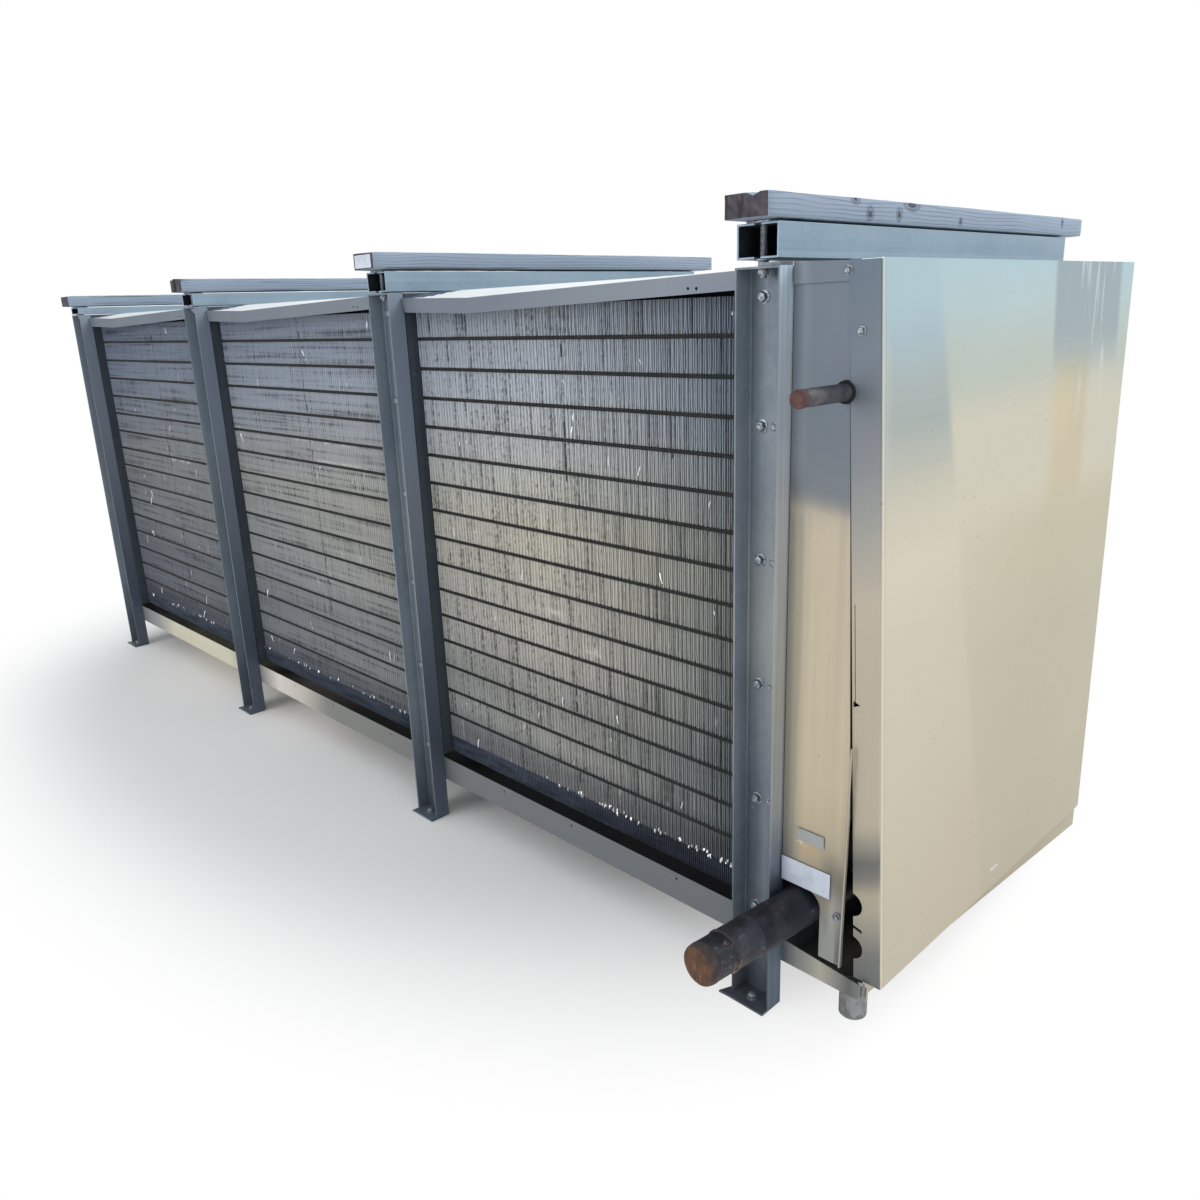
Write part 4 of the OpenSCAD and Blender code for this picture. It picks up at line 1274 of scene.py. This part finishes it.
def coil(i):
    """Fins, the dark depth behind them in painted shade, end sheets in painted shade and the sill.
    """
    node = f"coil_{i}"
    low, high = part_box(node)
    x0, x1 = bay(i)
    fins = fin_rows(f"{node}_fins", x0 + 0.001, x1 - 0.001, FIN_FRONT, FIN_FRONT + FIN_CUT,
                    FIN_PITCH, 3, 0.0016, i * 5.7)
    put_on(fins, FIN_SIDE)
    back = fin_rows(f"{node}_back_fins", x0 + 0.001, x1 - 0.001, FIN_FRONT + FIN_DEPTH - FIN_CUT,
                    FIN_FRONT + FIN_DEPTH, FIN_PITCH * 2, 1, 0.0, i)
    put_on(back, FIN_SIDE)
    gap = block("gap", (x0 + 0.0005, FIN_FRONT + 0.0012, row_z(1) - ROW_GAP + 0.0003),
                (x1 - 0.0005, FIN_FRONT + FIN_CUT, row_z(1) - 0.0003))
    with Editing(gap) as e:
        e.pick(lambda p: p.normal.y < -0.7)
        bpy.ops.mesh.inset(thickness=0.0008, depth=-0.0006)
    repeated(gap, ROWS - 1, (0, 0, ROW_PITCH))
    gap.name = f"{node}_gaps"
    put_on(gap, ROW_SHADOW)
    # a near-black block behind the fins: painted shade for the coil's depth
    core = block(f"{node}_depth", (x0, FIN_FRONT + FIN_CUT, FIN_FOOT),
                 (x1, FIN_FRONT + FIN_DEPTH - FIN_CUT, row_z(ROWS) - 0.001))
    rounded(core, 0.002, 1)
    put_on(core, COIL_PAINTED_SHADE)
    parts = []
    for x, out in ((x0, -1), (x1, 1)):
        a, b = sorted((x, x + out * 0.003))
        parts.append(block("end", (a, low.y, low.z), (b, high.y, high.z)))
        a, b = sorted((x, x + out * 0.045))
        for y in (low.y, high.y - 0.003):
            parts.append(block("end", (a, y, low.z), (b, y + 0.003, high.z)))
    ends = joined(f"{node}_ends", parts)
    rounded(ends, 0.0008, 1)
    # the end sheets in the dark copy: painted shade
    put_on(ends, END_SHEET_PAINTED_SHADE, node)
    sill = []
    for y in (FIN_FRONT + 0.004, FIN_FRONT + FIN_DEPTH - 0.084):
        sill.append(block("sill", (x0, y, low.z), (x1, y + 0.08, FIN_FOOT - 0.001)))
    rib = block("rib", (x0 + 0.002, FIN_FRONT + 0.001, low.z + 0.003),
                (x0 + 0.0045, FIN_FRONT + 0.006, FIN_FOOT - 0.001))
    with Editing(rib) as e:
        e.pick(lambda p: p.normal.y < -0.7)
        bpy.ops.transform.resize(value=(0.4, 1, 1))
    repeated(rib, int((x1 - x0 - 0.004) / FIN_PITCH), (FIN_PITCH, 0, 0))
    sill = joined(f"{node}_sill", sill + [rib])
    put_on(sill, SILL_DARK)
    coil_slats(i)
    bent_fins(i)
    middle_support(i)


random.seed(7)
for i in BAYS:
    coil(i)
wire_hooks()


# ---- sheet metal

def folded(node, material):
    """A folded sheet with rounded bends, from a CAD piece."""
    obj = copy_of(node, f"{node}_folded")
    rounded(obj, SHEET_BEND)
    return put_on(obj, material, node, level=True)


def rod(name, start, end, radius, vertices=24):
    """A closed round bar between two places."""
    start, end = Vector(start), Vector(end)
    bar = turned(name, [(radius, 0.0), (radius, (end - start).length)], vertices)
    return aim(bar, start, end - start)


def lip_sag(u):
    """How far a lid's front edge sags, as a share, along its length."""
    return 0.6 + 1.6 * u if u < 0.25 else (1 - u) / 0.75


def top_panel(i):
    """A sheet lid: level behind, its front edge sagging into a sloped strip and a lip."""
    node = f"top_panel_{i}"
    x0, x1 = bay(i)
    low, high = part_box(node)
    lip_y = FRONT + 0.0415
    back_y = FRONT + 0.150
    foot = POST_H - 0.038

    def front_edge(p):
        u = p.x
        x = x0 + 0.0005 + (x1 - x0 - 0.001) * u
        fold = POST_H - 0.003 - 0.021 * lip_sag(u)
        slant = 0.014 * max(0.0, 1 - u * 60)
        if p.y < 0.34:
            share = p.y / (1 / 3)
            z = foot - 0.0235 * lip_sag(u) + share * (fold - foot + 0.0235 * lip_sag(u))
            return Vector((x + slant * (1 - share), lip_y, z))
        share = (p.y - 1 / 3) / (2 / 3)
        ease = share * share * (3 - 2 * share)
        return Vector((x, lip_y + (back_y - lip_y) * share, fold + (POST_H - 0.0006 - fold) * ease))

    edge = sheet(f"{node}_lip", 60, 9)
    shape(edge, front_edge)
    thickened(edge, 0.0018)
    for x, z in ((x1 - 0.128, 1568), (x1 - 0.150, 1569)):
        cut(edge, rod("hole", (x, FRONT + 0.030, z * MM), (x, FRONT + 0.060, z * MM), 0.0034, 14))

    def shaded(face):
        c = face.center
        return face.normal.z > 0.3 and c.x < x0 + 0.055 + 0.10 * (c.y - lip_y) / (back_y - lip_y)

    # upward faces take the pale top sheet, painted light from above; the left ends take painted
    # shade
    paint(edge, LIP_SHEET, (TOP_SHEET_PAINTED_LIGHT, lambda p: p.normal.z > 0.3), (LIP_SHADE, shaded))
    put_on(edge, LIP_SHEET, node)
    deck = block(f"{node}_deck", (low.x, back_y - 0.001, POST_H - 0.0025), (high.x, high.y, POST_H))
    rear_lip = block("rear_lip", (x0 + 0.0005, high.y - 0.0025, foot),
                     (x1 - 0.0005, high.y, POST_H - 0.0004))
    ends = []
    for a, b in ((low.x, x0), (x1, high.x)):
        if b - a > 0.004:
            ends.append(block("end", (a, FRONT + 0.050, POST_H - 0.0025), (b, back_y, POST_H)))
    rib = block("rib", (x0 + 0.30, back_y + 0.05, POST_H - 0.0040),
                (x0 + 0.34, high.y - 0.05, POST_H - 0.0006))
    whole = joined(f"{node}_deck", [deck, rear_lip, rib] + ends)
    rounded(whole, 0.0006, 1)
    paint(whole, REAR_SHEET, (DECK_SHEET, lambda p: p.normal.z > 0.6))
    put_on(whole, REAR_SHEET, level=True)
    places = []
    for k in range(5):
        x = x0 + 0.06 + k * (x1 - x0 - 0.12) / 4
        places += [(Vector((x, back_y + 0.02, POST_H)), UP, k),
                   (Vector((x, high.y - 0.03, POST_H)), UP, k)]
    fasten(f"{node}_screws", SCREW, places)


def pans():
    """Both drain pans, the pipe coupling and the small plate that hangs beside it."""
    pan = copy_of("drain_pan", "drain_pan_folded")
    rounded(pan, 0.001, 2)
    for i in BAYS:
        x0, x1 = bay(i)
        for x in (x0 + 0.30, (x0 + x1) / 2, x1 - 0.21):
            cut(pan, rod("hole", (x, FRONT + 0.035, 0.186), (x, FRONT + 0.06, 0.186), 0.0035, 12))
    put_on(pan, PAN_SHEET, "drain_pan", level=True)
    end_pan = copy_of("end_drain_pan", "end_pan_folded")
    rounded(end_pan, 0.001, 2)
    # the end pan's outer end wall takes the cover sheet with its painted reflections
    paint(end_pan, PAN_SHEET,
          (COVER_SHEET, lambda p: p.normal.x > 0.5 and p.center.x > POST_RIGHT + 0.15))
    put_on(end_pan, PAN_SHEET, "end_drain_pan", level=True)
    coupling = copy_of("drain_coupling", "coupling_body")
    rounded(coupling, 0.0035, 3)
    put_on(coupling, COUPLING, "drain_coupling")
    tag = block("pan_tag", at(198, 44.0, 127), at(214, 45.2, 163))
    for k in range(5):
        cut(tag, rod("hole", at(206, 40, 132 + k * 6.4), at(206, 50, 132 + k * 6.4), 0.0024, 10))
    rounded(tag, 0.0003, 1)
    put_on(tag, STRAP)


COVER_TOP = 1602.8
COVER_FOOT = 160.0
COVER_REAR = corner_of("end_cover", True).y


def cover_point(across, down):
    """A place on the folded cover: across it from the front flange to the rear one, and down it."""
    front = at(183 + 61 * down, 36 + 18 * down, COVER_TOP + (COVER_FOOT - COVER_TOP) * down)
    rear = at(183 + 27 * down, 0, COVER_TOP + (99 - COVER_TOP) * down)
    rear.y = COVER_REAR - 0.030 * down
    bend = 0.004
    if across < 1:
        return front + Vector((-0.063 + (0.063 - bend) * across, 0, 0))
    if across < 2:
        turn = (across - 1) * math.pi / 2
        return front + Vector((-bend + bend * math.sin(turn), bend - bend * math.cos(turn), 0))
    if across < 3:
        start, end = front + Vector((0, bend, 0)), rear - Vector((0, bend, 0))
        return start.lerp(end, across - 2)
    if across < 4:
        turn = (across - 3) * math.pi / 2
        return rear + Vector((-bend + bend * math.cos(turn), -bend + bend * math.sin(turn), 0))
    return rear + Vector((-bend - (0.041 - bend) * (across - 4), 0, 0))


def end_cover():
    """The folded end cover: a twisted side between two flanges, the front one notched and slit."""
    steps = [k / 6 for k in range(6)] + [1 + k / 4 for k in range(4)]
    steps += [2 + k / 30 for k in range(30)] + [3 + k / 4 for k in range(4)] + [4, 4.5, 5]
    rows = 36
    cover = sheet("end_cover_folded", len(steps) - 1, rows)

    def folded_place(p):
        return cover_point(steps[round(p.x * (len(steps) - 1))], round((1 - p.y) * rows) / rows)

    shape(cover, folded_place)
    outward_side = [p.normal.x for p in cover.data.polygons if p.center.y > FRONT + 0.2
                    and p.center.y < 0.3]
    if sum(outward_side) < 0:
        with Editing(cover) as e:
            e.pick_all()
            bpy.ops.mesh.flip_normals()
    thickened(cover, 0.0025, -1)

    def edge(z):
        return 183 + 61 * (COVER_TOP - z) / (COVER_TOP - COVER_FOOT) - 63

    tools = [rod("notch", at(edge(z) - 7, 20, z), at(edge(z) - 7, 80, z), 0.028, 40)
             for z in (334, 232)]
    tools.append(rod("pipe_hole", at(119, 20, 1377), at(119, 60, 1377), 0.021, 36))
    slot = block("slot", at(edge(283) - 7, 20, 278.5), at(edge(283) + 20, 80, 286.5))
    shape(slot, lambda p: p + Vector((0, 0, (p.x - POST_RIGHT - edge(283) * MM) * -0.28)))
    tools.append(slot)
    slit = block("slit", at(-0.9, 20, 786), at(0.9, 80, 984))
    shape(slit, lambda p: p + Vector(((edge(p.z / MM) + 7.0) * MM, 0, 0)))
    tools.append(slit)
    for tool in tools:
        cut(cover, tool)
    triangle = turned("triangle", [(0.0105, -0.03), (0.0105, 0.03)], 3)
    shape(triangle, lambda p: Vector((p.x * 0.75, p.y, p.z)))
    aim(triangle, at(162.5, 48, 781), AFT, math.pi / 2)
    cut(cover, triangle)
    paint(cover, COVER_SHEET, (FLANGE_SHEET, lambda p: p.normal.y < -0.8))
    put_on(cover, COVER_SHEET, "end_cover", 30, level=True)
    lid = block("cover_top_fold", at(143, 36, 1600.6), at(182.8, 40, COVER_TOP))
    shape(lid, lambda p: Vector((p.x, COVER_REAR if p.y > FRONT + 0.038 else p.y, p.z)))
    rounded(lid, 0.0006, 1)
    # the pale top sheet, painted light from above
    put_on(lid, TOP_SHEET_PAINTED_LIGHT, level=True)


def panel_fittings():
    """What is fixed to the front panel: the top tab, screws, a grey plate and a blank sticker."""
    tab = block("panel_tab", at(3.5, 36.9, 1566), at(127, 38.4, 1606.4))
    shape(tab, lambda p: p if p.x < POST_RIGHT + 0.06 else p
          + Vector((-0.006, 0, 0.001 if p.z < 1.57 else -0.0048)))
    rounded(tab, 0.0006, 2)
    put_on(tab, PANEL_SHEET, level=True)
    edge = bent_wire("panel_edge",
                     [at(163.5, 37.4, 690), at(162.0, 37.0, 540), at(155.0, 36.6, 179.5)], 0.0022,
                     12)
    put_on(edge, LIP_EDGE)
    plate = block("grey_plate", at(42, 37.7, 442), at(107, 38.5, 470))
    rounded(plate, 0.0004, 1)
    put_on(plate, GREY_PLATE)
    sticker = sheet("blank_sticker", 8, 4)
    shape(sticker, lambda p: at(4 + 121 * p.x, 38.1 + 0.15 * math.sin(p.x * 9), 331 + 58 * p.y))
    thickened(sticker, 0.0004)
    put_on(sticker, LABEL)
    places = [(at(x, y, z), FORE, x) for x, y, z in ((81, 38.4, 272),)]
    fasten("panel_screws", SCREW, places)
    bolts = [(at(x, y, z), FORE, x) for x, y,
             z in ((118, 36.6, 1585), (144, 38.4, 297), (148, 37.4, 1483))]
    fasten("panel_bolts", SMALL_BOLT, bolts)


def cabinet():
    """The sheets round the pipes at the near end."""
    folded("front_panel", PANEL_SHEET)
    end_cover()
    panel_fittings()
    # the pale top sheet, painted light from above
    folded("cabinet_top", TOP_SHEET_PAINTED_LIGHT)
    folded("cabinet_rear", REAR_SHEET)


def bend_cover():
    """The box over the return bends: a shallow pan with folded seams, screwed round its rim."""
    low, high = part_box("bend_cover")
    obj = copy_of("bend_cover", "bend_cover_box")
    rounded(obj, 0.003, 3)
    put_on(obj, REAR_SHEET, "bend_cover", level=True)
    places = []
    for z in [low.z + 0.04 + k * (high.z - low.z - 0.08) / 6 for k in range(7)]:
        for y in (low.y + 0.03, (low.y + high.y) / 2, high.y - 0.03):
            places.append((Vector((low.x + 0.0028, y, z)), LEFT, z))
    fasten("bend_cover_screws", SCREW, places)


for i in BAYS:
    top_panel(i)
pans()
cabinet()
bend_cover()


# ---- pipes

def weld(radius, height, proud, half=0.003):
    """Steps of a raised bead round a pipe."""
    return [(radius, height - half), (radius + proud, height - half * 0.4),
            (radius + proud, height + half * 0.4), (radius, height + half)]


def pipe(name, start, end, steps, material, node=None, vertices=48):
    start, end = Vector(start), Vector(end)
    body = turned(name, steps, vertices)
    aim(body, start, end - start)
    return put_on(body, material, node, 40)


SUCTION_TURN = math.radians(5.4)
SUCTION_REACH = 0.268
SUCTION_LENGTH = 0.456


def suction():
    """The capped suction stub: a worn cap, a bare length, a weld ring and the pipe behind it."""
    r = 0.04445
    along = Vector((math.sin(SUCTION_TURN), math.cos(SUCTION_TURN), 0))
    tip = at(45.65, 0, 280) - along * (SUCTION_REACH / math.cos(SUCTION_TURN))
    face = turned("suction_cap_face",
                  [(0.012, 0.0006), (0.030, 0.0), (0.0375, 0.0014), (0.0405, 0.0040)], 48)
    aim(face, tip, along)
    put_on(face, CAP_RUST, smooth=50)
    side = [(0.0404, 0.0038), (0.0425, 0.0085), (0.0436, 0.0150), (0.0440, 0.0225)]
    side += [(0.0436, 0.0240), (0.0430, 0.0246)]
    cap = turned("suction_cap_side", side, 48)
    aim(cap, tip, along)
    put_on(cap, CAP_SIDE, smooth=50)
    body = [(0.0425, 0.0242), (0.0432, 0.0252), (0.0434, 0.0300), (0.0434, 0.0730)]
    body += weld(0.0434, 0.0765, 0.0030, 0.0035) + [(0.0444, 0.0815), (0.0444, 0.1500)]
    body += weld(r, 0.1530, 0.0012, 0.0025) + [(r, SUCTION_LENGTH)]
    pipe("suction_pipe", tip, tip + along * SUCTION_LENGTH, body, PIPE, "suction_line",
         48)


def liquid():
    """The capped liquid stub in its rubber grommet."""
    r = 0.0167
    tip = at(119, -114, 1377)
    nose = [(0.008, 0.0), (0.0135, 0.0006), (0.0158, 0.0026), (r, 0.006), (r, 0.016),
            (r - 0.0012, 0.018)]
    cap = turned("liquid_cap", nose, 36)
    aim(cap, tip, AFT)
    put_on(cap, RED_RUST)
    body = [(r - 0.0014, 0.0178), (r - 0.0010, 0.022)] + weld(r - 0.0006, 0.046, 0.0006, 0.002)
    body += [(r - 0.0006, 0.05), (r, 0.414)]
    pipe("liquid_pipe", tip, tip + AFT, body, STUB_GREY, "liquid_line", 36)
    ring = [(0.0170, 0.0), (0.0190, -0.0016), (0.0206, -0.0010), (0.0212, 0.0016), (0.0208, 0.0040),
            (0.0170, 0.0050)]
    grommet = turned("liquid_grommet", ring, 40)
    aim(grommet, at(119, 36.4, 1377), AFT)
    put_on(grommet, RUBBER)


suction()
liquid()


# ---- fans

def wire_ring(name, radius, wire, around):
    """A closed ring of round wire in the XY plane."""
    bpy.ops.object.select_all(action="DESELECT")
    bpy.ops.mesh.primitive_circle_add(vertices=8, radius=wire, location=(radius, 0, 0),
                                      rotation=(math.pi / 2, 0, 0))
    obj = bpy.context.object
    obj.name = name
    settle(obj)
    with Editing(obj, "EDGE") as e:
        e.pick_all()
        bpy.ops.mesh.spin(steps=around, angle=math.tau, center=(0, 0, 0), axis=(0, 0, 1))
    return outward(obj)


def fan_place(i):
    low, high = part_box(f"fan_guard_{i}")
    return (low + high) / 2


def fan_guard(i):
    low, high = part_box(f"fan_guard_{i}")
    middle = fan_place(i)
    reach = (high.x - low.x) / 2
    wire = 0.0028
    parts = []
    for k in range(1, 15):
        ring = wire_ring("ring", reach * k / 14 - wire, wire if k % 2 == 0 else wire * 0.7,
                         72 if k > 6 else 40)
        parts.append(aim(ring, (middle.x, high.y - 0.0032, middle.z), AFT))
    for k in range(4):
        way = Vector((math.cos(k * math.pi / 4), 0, math.sin(k * math.pi / 4))) * (reach - wire)
        centre = Vector((middle.x, high.y - 0.006, middle.z))
        parts.append(rod("spoke", centre - way, centre + way, 0.0025, 10))
    for k in range(4):
        way = Vector((math.cos(k * math.pi / 2), 0, math.sin(k * math.pi / 2))) * (reach - 0.004)
        foot = Vector((middle.x, low.y + 0.0005, middle.z)) + way
        parts.append(rod("leg", foot, foot + AFT * 0.024, 0.003, 10))
    badge = turned("badge", [(0.035, 0.0), (0.035, 0.0015), (0.03, 0.003)], 28)
    parts.append(aim(badge, (middle.x, high.y - 0.006, middle.z), AFT))
    put_on(joined(f"fan_guard_{i}_wires", parts), GUARD_WIRE, f"fan_guard_{i}")


def fan_rotor(i):
    low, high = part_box(f"fan_rotor_{i}")
    middle = (low + high) / 2
    middle.x, middle.z = fan_place(i).x, fan_place(i).z
    tip = (high.x - low.x) / 2
    hub = turned("hub",
                 [(0.05, -0.03), (0.078, -0.03), (0.08, -0.027), (0.08, 0.022), (0.074, 0.029),
                         (0.04, 0.03), (0.03, 0.024), (0.012, 0.024)], 40)
    parts = [aim(hub, middle, AFT)]
    blade = sheet("blade", 10, 8)

    def twist(p):
        r = 0.072 + p.x * (min(tip, 0.37) - 0.072)
        across = (p.y - 0.5) * (0.15 + 0.05 * math.sin(p.x * math.pi))
        pitch = math.radians(38 - 20 * p.x)
        camber = 0.014 * math.cos((p.y - 0.5) * math.pi) * (1 - 0.4 * p.x)
        depth = across * math.sin(pitch) + camber * math.cos(pitch)
        depth = max(-0.055, min(0.055, depth))
        side = across * math.cos(pitch) - camber * math.sin(pitch)
        return Vector((r * math.cos(side / r), r * math.sin(side / r), depth))

    shape(blade, twist)
    thickened(blade, 0.0028)
    rounded(blade, 0.0009, 1)
    for k in range(6):
        made = twin(blade, "blade")
        made.data.transform(Matrix.Rotation(k * math.tau / 6 + 0.2, 4, "Z"))
        parts.append(aim(made, middle, AFT))
    remove(blade)
    put_on(joined(f"fan_rotor_{i}_blades", parts), BLADE, f"fan_rotor_{i}")


def fan_motor(i):
    obj = copy_of(f"fan_motor_{i}", f"fan_motor_{i}_body")
    rounded(obj, 0.002, 2)
    put_on(obj, MOTOR_PAINT, f"fan_motor_{i}")


def fan_panel(i):
    obj = copy_of(f"fan_panel_{i}", f"fan_panel_{i}_pressed")
    rounded(obj, 0.0009, 1)
    put_on(obj, REAR_SHEET, f"fan_panel_{i}")
    low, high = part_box(f"fan_panel_{i}")
    places = []
    for z in (0.05, 0.35, 0.65, 0.95):
        for x in (low.x + 0.012, high.x - 0.012):
            places.append((Vector((x, high.y, low.z + z * (high.z - low.z))), AFT, z))
    for k in range(8):
        a = (k + 0.5) * math.tau / 8
        x, z = fan_place(i).x + 0.402 * math.cos(a), fan_place(i).z + 0.402 * math.sin(a)
        places.append((Vector((x, high.y, z)), AFT, k))
    fasten(f"fan_panel_{i}_screws", SCREW, places)


for i in BAYS:
    fan_panel(i)
    fan_guard(i)
    fan_rotor(i)
    fan_motor(i)


# ---- camera, floor and light

FLOOR_SIZE = 90.0
FLOOR_COLOUR = (0.97, 0.955, 0.935, 1)
SKY_COLOUR = (0.80, 0.84, 0.88, 1)
SKY_STRENGTH = 0.80


def white_floor():
    """A pale floor that keeps the object's shadow and is plain white farther off."""
    bpy.ops.object.select_all(action="DESELECT")
    bpy.ops.mesh.primitive_plane_add(size=1.0, location=(0, 0, -0.0006))
    floor = bpy.context.object
    floor.name = "studio_floor"
    floor.scale = (FLOOR_SIZE, FLOOR_SIZE, 1)
    settle(floor)
    f = Finish("studio_floor", roughness=0.9)
    f.shader.inputs["Base Color"].default_value = FLOOR_COLOUR
    f.shader.inputs["Specular IOR Level"].default_value = 0.0
    spot = f.stretched(0.60, 1.0, 1.0, shift=(0.18, 0.10, 0))
    away = f.node("ShaderNodeVectorMath", {0: spot}, {"operation": "LENGTH"}, "Value")
    seen = f.node("ShaderNodeLightPath", {}, {}, "Is Camera Ray")
    glow = f.node("ShaderNodeEmission", {"Color": (1, 1, 1, 1), "Strength": 1.0})
    share = away.clamp(0.92, 1.66) * seen
    surface = f.node("ShaderNodeMixShader", {0: share, 1: Wire(f, f.shader.outputs[0]), 2: glow})
    out = f.tree.nodes["Material Output"]
    f.tree.links.new(surface.socket, out.inputs["Surface"])
    floor.data.materials.append(f.material)


def pale_sky():
    """A sky that lights evenly and is plain white to the camera."""
    world = bpy.data.worlds.new("studio")
    bpy.context.scene.world = world
    world.use_nodes = True
    tree = world.node_tree
    back = tree.nodes["Background"]
    rays = tree.nodes.new("ShaderNodeLightPath")
    colour = tree.nodes.new("ShaderNodeMix")
    colour.data_type = "RGBA"
    colour.inputs[6].default_value = [c * SKY_STRENGTH for c in SKY_COLOUR[:3]] + [1]
    colour.inputs[7].default_value = (1, 1, 1, 1)
    tree.links.new(rays.outputs["Is Camera Ray"], colour.inputs[0])
    tree.links.new(colour.outputs[2], back.inputs["Color"])


def lamp(name, place, aim_at, size, power):
    """A soft square lamp that faces a point."""
    bpy.ops.object.light_add(type="AREA", location=place)
    made = bpy.context.object
    made.name = f"lamp_{name}"
    made.data.energy = power
    made.data.size = size
    made.rotation_euler = (Vector(aim_at) - Vector(place)).to_track_quat("-Z", "Y").to_euler()
    return made


white_floor()
pale_sky()
lamp("key", (4.5, 4.5, 7.5), (0, 0, 0.6), 4.5, 560.0)
lamp("side", (7.0, -2.5, 3.2), (1.6, 0, 0.8), 3.5, 45.0)
lamp("front", (-1.0, -7.0, 3.0), (-0.3, 0, 0.9), 4.0, 175.0)

CAMERA_PLACE = at(1076.87, -1507.61, 1531.70)
CAMERA_TURN = (73.3396, 2.0256, 45.6315)
CAMERA_LENS = 28.9366
bpy.ops.object.camera_add(location=CAMERA_PLACE, rotation=[math.radians(a) for a in CAMERA_TURN])
camera = bpy.context.object
camera.data.lens = CAMERA_LENS
camera.data.sensor_width = 36.0
bpy.context.scene.camera = camera
bpy.context.scene.view_settings.view_transform = "Standard"

remove(BIG_BOLT, SMALL_BOLT, SCREW)
